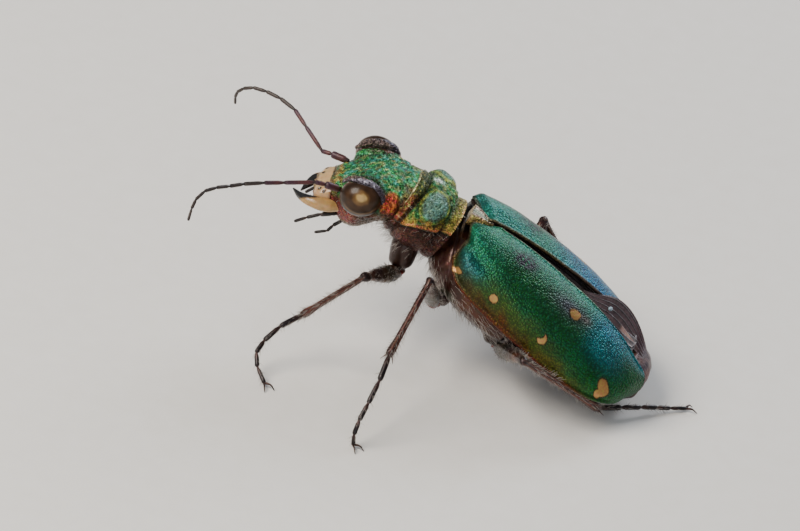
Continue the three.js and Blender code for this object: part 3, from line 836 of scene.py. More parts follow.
def makeLittleShield():
    # a thin-rimmed triangle: its half width shrinks straight from front to rear, its top is hollowed
    rows, columns = 70, 60
    v = np.linspace(0, 1, rows)
    halfWidth = littleShield["halfWidth"] * (1 - v) ** 0.85 + 0.02
    y = littleShield["front"] + (littleShield["rear"] - littleShield["front"]) * v
    angle = np.linspace(0, 2 * np.pi, columns, endpoint=False)
    x = halfWidth[:, None] * power(np.cos(angle), 0.4)
    middle, half = littleShield["height"] - littleShield["depth"] / 2, littleShield["depth"] / 2
    z = middle + half * power(np.sin(angle), 0.4)
    z = z + 0.05 * bump(v, 0.35, 0.4)[:, None]
    share = np.abs(x) / halfWidth[:, None]
    z = z - 0.06 * rise(share, 0.75, 0.3) * (np.sin(angle) > 0)
    grid = np.stack([x, np.broadcast_to(y[:, None], x.shape), z], -1)
    # painted highlight: the pale pinkish grey over most of the little shield
    paint = painted(x.shape, "8a786a")
    brush(paint, "5a8a72", 0.5 * rise(share, 0.6, 0.2))
    brush(paint, "b8a040", 0.6 * rise(share, 0.75, 0.95))
    skinPiece("littleShield", grid, trunkFrame, shieldChitin, ["scutellum"], paint)


makeLittleShield()
print("neck shield made")

# Breast and hind body, in the trunk frame, with the same five numbers for each stop.
breast = {
    "stops": [
        (-0.32, 0.95, 0.85, -0.8, 0.0),
        (0.1, 1.5, 0.95, -1.05, -0.1),
        (0.8, 1.85, 1.1, -1.3, -0.2),
        (1.8, 2.0, 1.2, -1.45, -0.25),
        (2.7, 2.1, 1.2, -1.45, -0.25),
        (3.2, 2.12, 1.2, -1.4, -0.25),
    ],
}
hindBody = {
    "stops": [
        (3.2, 2.12, 1.2, -1.38, -0.25),
        (4.2, 2.2, 1.2, -1.3, -0.25),
        (5.4, 2.2, 1.1, -1.15, -0.2),
        (6.4, 2.05, 1.1, -0.9, -0.1),
        (7.4, 1.7, 1.12, -0.6, 0),
        (8.1, 1.25, 0.98, -0.3, 0.1),
        (8.42, 0.7, 0.68, -0.08, 0.25),
    ],
    "ringLength": 1.02,
}


def makeBreast():
    grid = barrel(breast["stops"], 120, 160, 2.3)
    x, y, z = np.moveaxis(grid, 2, 0)
    n = gridNormals(grid)
    # seams between the side plates slant back and down
    push = -0.05 * bump(y + 0.5 * z, 0.35, 0.05) - 0.05 * bump(y + 0.35 * z, 1.35, 0.05)
    push -= 0.04 * bump(z, -0.75, 0.05) * rise(y, 0.9, 1.1) + 0.03 * bump(x, 0, 0.05) * rise(z, -0.4, -0.9)
    push += 0.02 * waves(grid, 0.5, 31)
    grid = grid + n * push[..., None]
    paint = painted(x.shape, "3a1e16")
    brush(paint, "5a3220", 0.7 * rise(waves(grid, 0.9, 32), 0, 0.7))
    brush(paint, "3a2036", 0.6 * rise(z, -0.8, -1.3))
    brush(paint, "2a4432", 0.4 * rise(waves(grid, 1.2, 33), 0.2, 0.8))
    skinPiece("breast", grid, trunkFrame, copperChitin, ["thorax"], paint)
    return grid


def makeHindBody():
    grid = barrel(hindBody["stops"], 200, 160, 2.3)
    x, y, z = np.moveaxis(grid, 2, 0)
    n = gridNormals(grid)
    phase = (y - 3.3) / hindBody["ringLength"]
    fromSeam = np.abs(phase - np.round(phase)) * hindBody["ringLength"]
    # each ring overlaps the next: a lip before the seam and a step after it
    push = -0.07 * bump(fromSeam, 0, 0.06) + 0.02 * bump(fromSeam, 0.14, 0.08)
    push -= 0.05 * bump(z, -0.2, 0.06)
    push += 0.012 * waves(grid, 0.4, 41)
    grid = grid + n * push[..., None]
    paint = painted(x.shape, "2c181a")
    brush(paint, "4a2a26", 0.7 * rise(z, -0.4, 0.1))
    brush(paint, "3a2438", 0.7 * rise(z, 0.4, 0.8))
    brush(paint, "6a3c34", 0.7 * rise(y, 6.6, 7.6) * rise(waves(grid, 0.5, 43), -0.4, 0.5))
    brush(paint, "9a7a66", 0.75 * bump(fromSeam, 0.02, 0.05) * rise(y, 3.6, 4.0))
    brush(paint, "2e4a4e", 0.3 * rise(waves(grid, 0.8, 42), 0.3, 0.9))
    skinPiece("hindBody", grid, trunkFrame, plateChitin, ["abdomen"], paint)
    return grid


breastGrid = makeBreast()
hindBodyGrid = makeHindBody()

# Folded flight wings. Two pleated leaves lie on the back in the opening between the cases, and the tip of
# one has slipped out and lies over the rear of the right case, which hides that case's end from the left.
foldedWings = {
    "halfWidth": 1.2,
    "front": 0.7,
    "rear": 7.3,
    "thickness": 0.06,
    "foldPitch": 0.34,
    # the slipped tip: y, then x and z of its left edge, then x and z of its right edge
    "tip": [
        (4.7, 0.1, 1.42, -0.42, 1.5),
        (5.2, 0.16, 1.46, -0.52, 1.66),
        (5.6, 0.2, 1.48, -0.72, 1.78),
        (6.0, 0.2, 1.48, -0.98, 1.76),
        (6.5, 0.2, 1.4, -1.17, 1.62),
        (7.0, 0.2, 1.26, -1.12, 1.44),
        (7.5, 0.25, 1.16, -0.9, 1.2),
        (7.95, 0.2, 1.0, -0.45, 1.0),
    ],
    "tipPleats": 4.5,
    "tipThickness": 0.035,
    "bead": (-0.1, 5.8, 1.7),
    "beadRadius": 0.08,
}


def makeFoldedWings():
    # a thin plate that follows the back, pleated lengthwise, its edge a long oval, its middle raised
    parts = []
    for side, lift in ((1, 0.0), (-1, 0.07)):
        rows, columns = 160, 60
        v = np.linspace(0, 1, rows)
        y = foldedWings["front"] + (foldedWings["rear"] - foldedWings["front"]) * v
        halfWidth = foldedWings["halfWidth"] * np.sqrt(np.clip(1 - (2 * v - 1) ** 4, 0, 1)) + 0.01
        stops = [(k[0], k[2]) for k in breast["stops"][:-1]] + [(k[0], k[2]) for k in hindBody["stops"]]
        back = through(stops, y)
        across = np.linspace(-1, 1, columns)
        x = halfWidth[:, None] * across + side * 0.12
        z = back[:, None] + 0.09 + lift - 0.1 * (x / 1.3) ** 2
        z = z + 0.2 * bump(x, 0.0, 0.4) * rise(v, 0.0, 0.2)[:, None] * rise(v, 1.0, 0.75)[:, None]
        crest = np.cos(2 * np.pi * x / foldedWings["foldPitch"] + 3 * v[:, None] * side)
        z = z + 0.035 * crest
        top = np.stack([x, np.broadcast_to(y[:, None], x.shape), z], -1)
        under = top - [0, 0, foldedWings["thickness"]]
        paint = painted((rows, 2 * columns), "7a7274")
        vein = np.concatenate([crest, crest[:, ::-1]], 1)
        brush(paint, "2c2224", 0.85 * rise(vein, 0.2, 0.95))
        parts.append((np.concatenate([top, under[:, ::-1]], 1), paint))
    rows, columns = 150, 70
    y = np.linspace(foldedWings["tip"][0][0], foldedWings["tip"][-1][0], rows)
    leftX, leftZ, rightX, rightZ = through(foldedWings["tip"], y).T[..., None]
    u = np.linspace(0, 1, columns)[None]
    crest = np.cos(2 * np.pi * (foldedWings["tipPleats"] * u + 0.4 * np.linspace(0, 1, rows)[:, None]))
    fade = rise(y, 7.95, 7.3)[:, None]
    x = leftX + (rightX - leftX) * u
    z = leftZ + (rightZ - leftZ) * u + 0.04 * crest * fade
    top = np.stack([x, np.broadcast_to(y[:, None], x.shape), z], -1)
    under = top - [0, 0, foldedWings["tipThickness"]]
    paint = painted((rows, 2 * columns), "5c4a4e")
    vein = np.concatenate([crest, crest[:, ::-1]], 1)
    brush(paint, "1e1416", 0.85 * rise(vein, 0.3, 0.95))
    edge = np.concatenate([u, u[:, ::-1]], 1) + np.zeros((rows, 1))
    # painted reflection: a pale pink strip along the tip near its left edge
    brush(paint, "c8a49a", 0.9 * bump(edge, 0.12, 0.1) * (rise(y, 6.4, 6.6) * rise(y, 7.5, 7.2))[:, None])
    brush(paint, "4a2630", 0.6 * rise(y, 6.9, 7.6)[:, None])
    parts.append((np.concatenate([top, under[:, ::-1]], 1), paint))
    # a small rounded fold at the opening's end, painted pale blue as a painted highlight
    bead = ball(14, 24, 0.05) * foldedWings["beadRadius"] + foldedWings["bead"]
    parts.append((bead, painted(bead.shape[:2], "8fa8b4")))
    joinedPiece("foldedWings", parts, trunkFrame, plateChitin, [])


makeFoldedWings()
print("body made")

# Head, in its own frame, with the same five numbers for each stop as the neck shield.
head = {
    "stops": [
        (-2.62, 0.72, 0.16, -0.85, -0.25),
        (-2.3, 0.9, 0.4, -1.3, -0.2),
        (-1.9, 1.08, 0.62, -1.66, -0.1),
        (-1.4, 1.25, 0.78, -1.56, 0),
        (-0.9, 1.36, 0.86, -1.14, 0),
        (-0.4, 1.3, 0.84, -0.95, 0),
        (0.06, 1.12, 0.74, -0.85, 0),
        (0.45, 0.98, 0.62, -0.75, 0),
    ],
    "eyeAt": (1.33, -1.36, 0.32),
    "eyeRadius": 0.68,
    # the eye's top is cut flat, square to browUp, this far from its middle; the brow lies on the cut. Each
    # stop of the brow gives its place along browAlong, along browUp and along browOut, and its radius.
    "eyeCut": 0.41,
    "browUp": (-0.6, 0.17, 0.78),
    "browAlong": (0.025, 0.977, -0.198),
    "browOut": (0.8, 0.1, 0.59),
    "brow": [
        (-0.76, 0.3, -0.1, 0.06),
        (-0.58, 0.47, 0.05, 0.1),
        (-0.3, 0.53, 0.2, 0.13),
        (0.0, 0.53, 0.28, 0.15),
        (0.28, 0.5, 0.3, 0.15),
        (0.5, 0.42, 0.28, 0.14),
        (0.7, 0.24, 0.16, 0.11),
        (0.8, 0.02, 0.0, 0.06),
    ],
    # the direction, in the eye's frame, where its painted reflection is palest
    "eyeReflectionAim": (0.84, 0.0, 0.54),
    # a boss of the head under each eye's inner side: middle and half sizes
    "eyeBoss": [(0.94, -1.36, 0.3), (0.46, 0.7, 0.46)],
}


def makeHead():
    grid = barrel(head["stops"], 200, 280, 2.2)
    x, y, z = np.moveaxis(grid, 2, 0)
    n = gridNormals(grid)
    wide = np.abs(x)
    eyeX, eyeY, eyeZ = head["eyeAt"]
    fromEye = np.sqrt((wide - eyeX) ** 2 + (y - eyeY) ** 2 + (z - eyeZ) ** 2)
    upper = rise(z, 0.1, 0.4)
    push = -0.08 * bump(x, 0, 0.5) * bump(y, -1.6, 0.5) * upper
    push += 0.1 * bump(fromEye, 0.8, 0.09)
    push -= 0.05 * bump(y, -2.2 - 0.1 * bump(x, 0, 0.4), 0.05) * upper
    push -= 0.12 * bump(wide, 0.86, 0.16) * bump(y, -2.24, 0.16) * bump(z, 0.2, 0.25)
    push -= 0.05 * bump(y, -0.05, 0.06)
    # the cheek behind the eye swells and is drawn into upright folds
    cheek = bump(y, -0.34, 0.3) * bump(z, 0.14, 0.42) * rise(wide, 0.8, 1.05)
    push += cheek * (0.07 + 0.022 * np.sin(2 * np.pi * (y + 0.12 * z + 0.04 * waves(grid, 0.4, 54)) / 0.13))
    ridges = np.sin(2 * np.pi * wide / 0.105 + 1.5 * waves(grid, 0.7, 50))
    push += 0.01 * ridges * rise(wide, 0.3, 0.55) * upper * rise(y, -2.05, -1.9)
    push += 0.013 * waves(grid, 0.3, 51) + 0.009 * waves(grid, 0.14, 52) + 0.004 * waves(grid, 0.08, 55)
    grid = grid + n * push[..., None]
    gold = waves(grid, 0.2, 53)
    paint = painted(x.shape, "237a44")
    brush(paint, "2f8478", 0.7 * rise(waves(grid, 0.35, 56), -0.2, 0.6) * upper)
    brush(paint, "8a8a4a", 0.6 * rise(gold, 0.1, 0.7) * upper)
    brush(paint, "10301c", 0.7 * rise(waves(grid, 0.15, 66), 0.1, 0.7) * upper)
    brush(paint, "6a4a3a", 0.4 * rise(waves(grid, 0.18, 57), 0.5, 0.9) * upper)
    brush(paint, "1f1a1c", 0.8 * bump(fromEye, 0.78, 0.12))
    brush(paint, "8a3a16", 0.97 * rise(cheek, 0.2, 0.45))
    brush(paint, "d0601c", 0.85 * rise(cheek, 0.5, 0.95) * rise(gold, -0.6, 0.3))
    brush(paint, "3a1a12", 0.85 * rise(y, -0.2, 0.0) * rise(wide, 0.85, 1.0) * rise(z, 0.5, 0.2))
    lower = rise(z, 0.0, -0.3)
    brush(paint, "4a241c", 0.9 * lower)
    brush(paint, "6a2622", 0.85 * lower * rise(y, -1.3, -1.7) * rise(z, -1.3, -1.0))
    brush(paint, "2c1a16", 0.8 * bump(y, -1.2, 0.35) * bump(z, -0.75, 0.3))
    brush(paint, "8c6a2c", 0.75 * rise(y, -2.12, -2.3) * rise(gold, -0.8, 0.3) * rise(z, -0.3, 0.0))
    brush(paint, "3a1f18", 0.8 * rise(y, -2.42, -2.56))
    brush(paint, "6a3a24", 0.6 * rise(y, -0.05, 0.1) * rise(wide, 0.3, 0.7))
    parts = [(grid, paint)]
    table = np.array(head["brow"])
    axes = np.array([head["browAlong"], head["browUp"], head["browOut"]])
    run = smoothPath(np.column_stack([table[:, :3] @ axes + head["eyeAt"], table[:, 3]]), 60)
    for side in (1, -1):
        ridge = tube(run[:, :3] * [side, 1, 1], run[:, 3], 24)
        ridge = ridge + gridNormals(ridge) * (0.012 * waves(ridge, 0.16, 58))[..., None]
        browPaint = painted(ridge.shape[:2], "4a4650")
        brush(browPaint, "a8a4b4", 0.7 * rise(waves(ridge, 0.12, 68), 0.1, 0.8))
        inward = (run[:, 0].mean() - side * ridge[..., 0]) + 0.4 * (ridge[..., 2] - 0.8)
        brush(browPaint, "2a2028", 0.8 * rise(ridge[..., 1], -1.0, -0.75))
        brush(browPaint, "54443a", 0.85 * rise(inward, 0.04, 0.12))
        parts.append((ridge, browPaint))
        middle, half = (np.array(k) for k in head["eyeBoss"])
        boss = ball(70, 90, 0.02) * half
        boss = boss * (1 + 0.02 * waves(boss, 0.2, 60) + 0.012 * waves(boss, 0.1, 64))[..., None] + middle
        bossPaint = painted(boss.shape[:2], "237a44")
        brush(bossPaint, "5c5a3c", 0.8 * rise(boss[..., 2], 0.66, 0.82))
        flecks = rise(waves(boss, 0.16, 65), 0.2, 0.8) * rise(boss[..., 2], 0.6, 0.8)
        brush(bossPaint, "8c8078", 0.6 * flecks)
        parts.append((boss * [side, 1, 1], bossPaint))
    joinedPiece("headCapsule", parts, headFrame, shieldChitin, ["head"])
    return grid


headGrid = makeHead()


def makeEyes():
    # a dome a little longer than high; at the middle of its outer, upper side it is painted pale in rings,
    # a painted reflection
    reflectionAim = np.array(head["eyeReflectionAim"]) / np.linalg.norm(head["eyeReflectionAim"])
    for name, side, node in (("eyeLeft", 1, "eye_left"), ("eyeRight", -1, "eye_right")):
        unit = ball(120, 160, 0.01)
        grid = unit * [0.94, 1.1, 0.97] * head["eyeRadius"]
        overCut = np.clip(grid @ np.array(head["browUp"]) - head["eyeCut"], 0, None)
        grid = grid - 0.92 * overCut[..., None] * head["browUp"]
        grid = grid * [side, 1, 1]
        grid = inFrame(grid, moved(np.array(head["eyeAt"]) * [side, 1, 1]) @ turned("z", side * 8.6))
        paint = painted(grid.shape[:2], "2a1a0e")
        facing = unit @ reflectionAim + 0.022 * waves(unit, 0.3, 59)
        # painted reflection: brown to pale tan rings round the point that faces the eye's reflection aim
        brush(paint, "3a2616", 0.85 * rise(facing, 0.62, 0.8))
        brush(paint, "6a4e2c", 0.8 * rise(facing, 0.88, 0.96))
        brush(paint, "a88c58", 0.85 * rise(facing, 0.955, 0.99))
        brush(paint, "1a0f0a", 0.9 * rise(facing, 0.42, 0.2) * rise(unit[..., 0], -0.1, 0.2))
        brush(paint, "5a4232", 0.85 * rise(unit[..., 0], 0.1, -0.2))
        brush(paint, "b0a4a8", 0.7 * rise(unit[..., 0], 0.0, -0.3) * rise(waves(unit, 0.22, 69), 0.2, 0.8))
        brush(paint, "8a6a4a", 0.5 * bump(facing, 0.52, 0.07) * rise(unit[..., 2], 0.1, -0.3))
        skinPiece(name, grid, headFrame, eyeLensChitin, [node], paint)


makeEyes()

# Upper lip: a cream plate with three blunt teeth at its front edge and a row of bristle pits behind them.
upperLip = {
    "stops": [
        (-3.13, 0.62, -0.3, -0.6, -0.45),
        (-2.96, 0.82, -0.13, -0.62, -0.4),
        (-2.5, 0.86, 0.06, -0.56, -0.28),
    ],
    "pits": [(0.3, -2.98), (0.62, -2.92), (0.76, -2.74)],
}


def makeUpperLip():
    grid = barrel(upperLip["stops"], 90, 160, 3.0)
    x, y, z = np.moveaxis(grid, 2, 0)
    wide = np.abs(x)
    tooth = bump(x, 0, 0.09) + 0.7 * bump(wide, 0.3, 0.09)
    grid[..., 1] -= 0.1 * tooth * rise(y, -2.85, -3.05)
    grid[..., 2] -= 0.04 * bump(x, 0, 0.08) * rise(z, -0.3, 0)
    paint = painted(x.shape, "dcb680")
    brush(paint, "c8925a", 0.6 * rise(wide, 0.45, 0.75))
    brush(paint, "7a4a2a", 0.8 * rise(y, -2.6, -2.52))
    brush(paint, "3a2418", 0.7 * rise(y, -3.07, -3.13))
    for pitX, pitY in upperLip["pits"]:
        away = np.hypot(wide - pitX, y - pitY)
        grid[..., 2] -= 0.04 * bump(away, 0, 0.05)
        brush(paint, "2a150c", 0.95 * rise(away, 0.085, 0.05) * rise(z, -0.45, -0.35))
    skinPiece("upperLip", grid, headFrame, ivoryChitin, ["labrum"], paint)


makeUpperLip()

# Jaws, in the head frame: the left one's path from hinge to tip, and its radii along it 0..1.
jaws = {
    "path": [
        (0.64, -2.2, -0.64),
        (0.88, -2.66, -0.61),
        (0.88, -3.19, -0.57),
        (0.62, -3.58, -0.62),
        (0.33, -3.86, -0.62),
    ],
    "radii": [(0, 0.29), (0.25, 0.27), (0.5, 0.215), (0.75, 0.14), (1, 0.035)],
    "rightTurn": 24,
    # teeth: place along the jaw 0..1 and length in mm
    "teeth": [(0.36, 0.36), (0.52, 0.3), (0.7, 0.22)],
}


def makeJaws():
    # a sickle with three teeth inside it: cream on its outer root, black at the teeth and the tip
    hinge = moved(jaws["path"][0])
    for name, side, node in (("jawLeft", 1, "mandible_left"), ("jawRight", -1, "mandible_right")):
        turn = hinge @ turned("z", 0 if side > 0 else -jaws["rightTurn"]) @ np.linalg.inv(hinge)
        path = smoothPath(inFrame(np.array(jaws["path"]), turn) * [side, 1, 1], 60)
        radii = through(jaws["radii"], np.linspace(0, 1, 60))
        blade = tube(path, radii, 48, 0.85)
        paint = painted(blade.shape[:2], "c89c5c")
        share = shareAlong(blade)
        inside = (blade[..., 0] - blade[..., 0].mean(1, keepdims=True)) * -side
        upward = blade[..., 2] - blade[..., 2].mean(1, keepdims=True)
        brush(paint, "8a5a2c", 0.6 * rise(share, 0.12, 0.02))
        brush(paint, "15110f", rise(share + 0.9 * inside + 0.5 * upward, 0.5, 0.6))
        parts = [(blade, paint)]
        for place, size in jaws["teeth"]:
            root = path[int(place * 59)]
            tip = root + np.array([-side * size * 1.2, -0.1, -0.02])
            tooth = tube(between(root, tip, np.linspace(0, 1, 8)), np.linspace(0.12, 0.02, 8), 20, 0.8)
            parts.append((tooth, painted(tooth.shape[:2], "16110f")))
        joinedPiece(name, parts, headFrame, ivoryChitin, [node])


makeJaws()


def jointed(points, radii, columns, steps, waist):
    # a run of joints, each swelling smoothly towards its far end and narrow where it meets the next
    path, sizes, shares, order = [], [], [], []
    for k in range(len(points) - 1):
        u = np.linspace(0.02, 0.98, steps)
        path.append(between(points[k], points[k + 1], u))
        swelling = rise(u, 0.0, 0.3) * (0.85 + 0.15 * u) * (1 - 0.35 * rise(u, 0.88, 1.0))
        profile = waist + (1 - waist) * swelling
        sizes.append(radii[k] * profile)
        shares.append(u)
        order.append(np.full(steps, k))
    grid = tube(np.concatenate(path), np.concatenate(sizes), columns)
    pad = (len(grid) - len(path) * steps) // 2
    order = np.pad(np.concatenate(order), pad, mode="edge")
    shares = np.pad(np.concatenate(shares), pad, mode="edge")
    return grid, order[:, None] + 0 * grid[..., 0], shares[:, None] + 0 * grid[..., 0]


# Palps and antennae, in the head frame: the ends of their joints, and the radii of the antennae's joints.
feelers = {
    "palpOuter": [(0.72, -2.13, -0.98), (0.95, -2.68, -0.98), (1.0, -3.18, -1.22), (0.9, -3.59, -1.55)],
    "palpInner": [(0.3, -2.01, -1.52), (0.4, -2.32, -1.76), (0.5, -2.49, -1.97), (0.52, -2.9, -2.12)],
    "antennaLeft": [
        (0.9, -2.14, 0.16),
        (1.13, -2.66, 0.41),
        (1.28, -2.99, 0.53),
        (1.73, -4.0, 0.57),
        (2.18, -4.62, 0.72),
        (2.58, -5.26, 0.79),
        (3.0, -5.67, 0.89),
        (3.44, -6.05, 1.04),
        (3.86, -6.38, 1.1),
        (4.33, -6.58, 1.03),
        (4.67, -6.64, 0.87),
        (4.95, -6.67, 0.56),
    ],
    "antennaRight": [
        (-0.68, -2.24, 0.28),
        (-0.83, -2.84, 0.31),
        (-0.97, -3.21, 0.25),
        (-1.6, -3.95, 0.66),
        (-2.15, -4.49, 0.88),
        (-2.52, -5.09, 0.97),
        (-2.72, -5.64, 1.0),
        (-2.83, -6.13, 0.97),
        (-2.91, -6.48, 0.8),
        (-3.0, -6.7, 0.54),
        (-3.09, -6.77, 0.25),
        (-3.16, -6.76, -0.07),
    ],
    "antennaRadii": [0.135, 0.085, 0.08, 0.08, 0.075, 0.072, 0.068, 0.065, 0.06, 0.058, 0.05],
}


def makeFeelers():
    for side, word in ((1, "left"), (-1, "right")):
        for key, radii in (("palpOuter", (0.075, 0.065, 0.06)), ("palpInner", (0.07, 0.06, 0.055))):
            points = np.array(feelers[key]) * [side, 1, 1]
            grid, order, share = jointed(points, radii, 20, 12, 0.6)
            paint = painted(order.shape, "1e1412")
            brush(paint, "4a3028", 0.7 * rise(share, 0.3, 0.0))
            name = key + word.capitalize()
            node = ("palp_outer_" if key == "palpOuter" else "palp_inner_") + word
            skinPiece(name, grid, headFrame, feelerChitin, [node], paint)
    for name, node in (("antennaLeft", "antenna_left"), ("antennaRight", "antenna_right")):
        grid, order, share = jointed(feelers[name], feelers["antennaRadii"], 24, 14, 0.62)
        paint = painted(order.shape, "3a302c")
        brush(paint, "54282a", 0.9 * (order < 4))
        brush(paint, "2c2038", 0.5 * (order < 4) * rise(share, 0.4, 0.9))
        brush(paint, "140f10", 0.8 * rise(share, 0.25, 0.0))
        skinPiece(name, grid, headFrame, feelerChitin, [node], paint)


makeFeelers()
print("head made")

# Legs, over the floor: hip (in the trunk frame), trochanter, knee, ankle and the ends of the foot's joints.
legs = {
    "front_left": {
        "hip": (0.7, -1.25, -0.7),
        "trochanter": (0.9, -2.57, 3.04),
        "knee": (3.25, -3.56, 3.9),
        "ankle": (3.27, -5.26, 1.86),
        "foot": [
            (3.81, -5.91, 1.47),
            (4.28, -6.31, 1.04),
            (4.69, -6.46, 0.74),
            (5.05, -6.3, 0.42),
            (5.5, -5.9, 0.12),
        ],
    },
    "front_right": {
        "hip": (-0.7, -1.25, -0.7),
        "trochanter": (-0.9, -2.57, 3.04),
        "knee": (-3.1, -2.9, 4.3),
        "ankle": (-4.9, -2.9, 2.35),
        "foot": [
            (-5.3, -2.85, 1.5),
            (-5.6, -2.8, 0.9),
            (-5.85, -2.7, 0.5),
            (-6.2, -2.6, 0.25),
            (-6.75, -2.5, 0.12),
        ],
    },
    "middle_left": {
        "hip": (0.85, 0.75, -1.2),
        "trochanter": (1.3, -1.11, 2.47),
        "knee": (3.45, -1.32, 4.55),
        "ankle": (5.55, -1.98, 2.59),
        "foot": [
            (6.38, -2.07, 1.98),
            (7.07, -2.23, 1.41),
            (7.55, -2.37, 0.95),
            (7.8, -2.42, 0.5),
            (7.85, -2.36, 0.12),
        ],
    },
    "middle_right": {
        "hip": (-0.85, 0.75, -1.2),
        "trochanter": (-1.3, -1.11, 2.47),
        "knee": (-3.3, 0.2, 4.05),
        "ankle": (-5.4, 0.9, 2.3),
        "foot": [
            (-6.1, 1.05, 1.55),
            (-6.6, 1.15, 0.95),
            (-7.0, 1.25, 0.5),
            (-7.4, 1.32, 0.25),
            (-7.95, 1.4, 0.12),
        ],
    },
    "hind_left": {
        "hip": (0.7, 3.1, -1.2),
        "trochanter": (1.0, 1.48, 1.26),
        "knee": (4.27, 2.5, 2.92),
        "ankle": (1.95, 5.35, 0.5),
        "foot": [
            (1.35, 6.1, 0.4),
            (0.85, 6.75, 0.32),
            (0.45, 7.3, 0.24),
            (0.15, 7.75, 0.17),
            (-0.2, 8.3, 0.12),
        ],
    },
    "hind_right": {
        "hip": (-0.7, 3.1, -1.2),
        "trochanter": (-1.0, 1.48, 1.26),
        "knee": (-4.24, 1.8, 3.59),
        "ankle": (-3.6, 4.4, 0.6),
        "foot": [
            (-4.15, 4.62, 0.46),
            (-4.7, 4.8, 0.36),
            (-5.1, 4.9, 0.28),
            (-5.45, 5, 0.22),
            (-5.8, 5, 0.12),
        ],
    },
}
# Radii in mm of thigh, shin and foot, the profiles along them, and the length of a claw.
legSizes = {
    "hip": [(0, 0.5), (0.6, 0.42), (0.82, 0.24), (0.9, 0.27), (1, 0.2)],
    "thighProfile": [(0, 0.6), (0.16, 0.92), (0.36, 1), (0.62, 0.78), (0.84, 0.5), (0.94, 0.58), (1, 0.5)],
    "shinProfile": [(0, 0.95), (0.06, 0.75), (0.2, 0.8), (0.8, 0.85), (0.95, 1.1), (1, 1.0)],
    "footProfile": (1.05, 0.95, 0.9, 0.85, 0.75),
    "grooves": 5,
    "grooveDepth": 0.012,
    "thigh": {"front": 0.33, "middle": 0.31, "hind": 0.34},
    "shin": {"front": 0.15, "middle": 0.15, "hind": 0.17},
    "foot": 0.1,
    "claw": 0.42,
}


def legTag(name):
    # front_left to FrontLeft
    return "".join(word.capitalize() for word in name.split("_"))


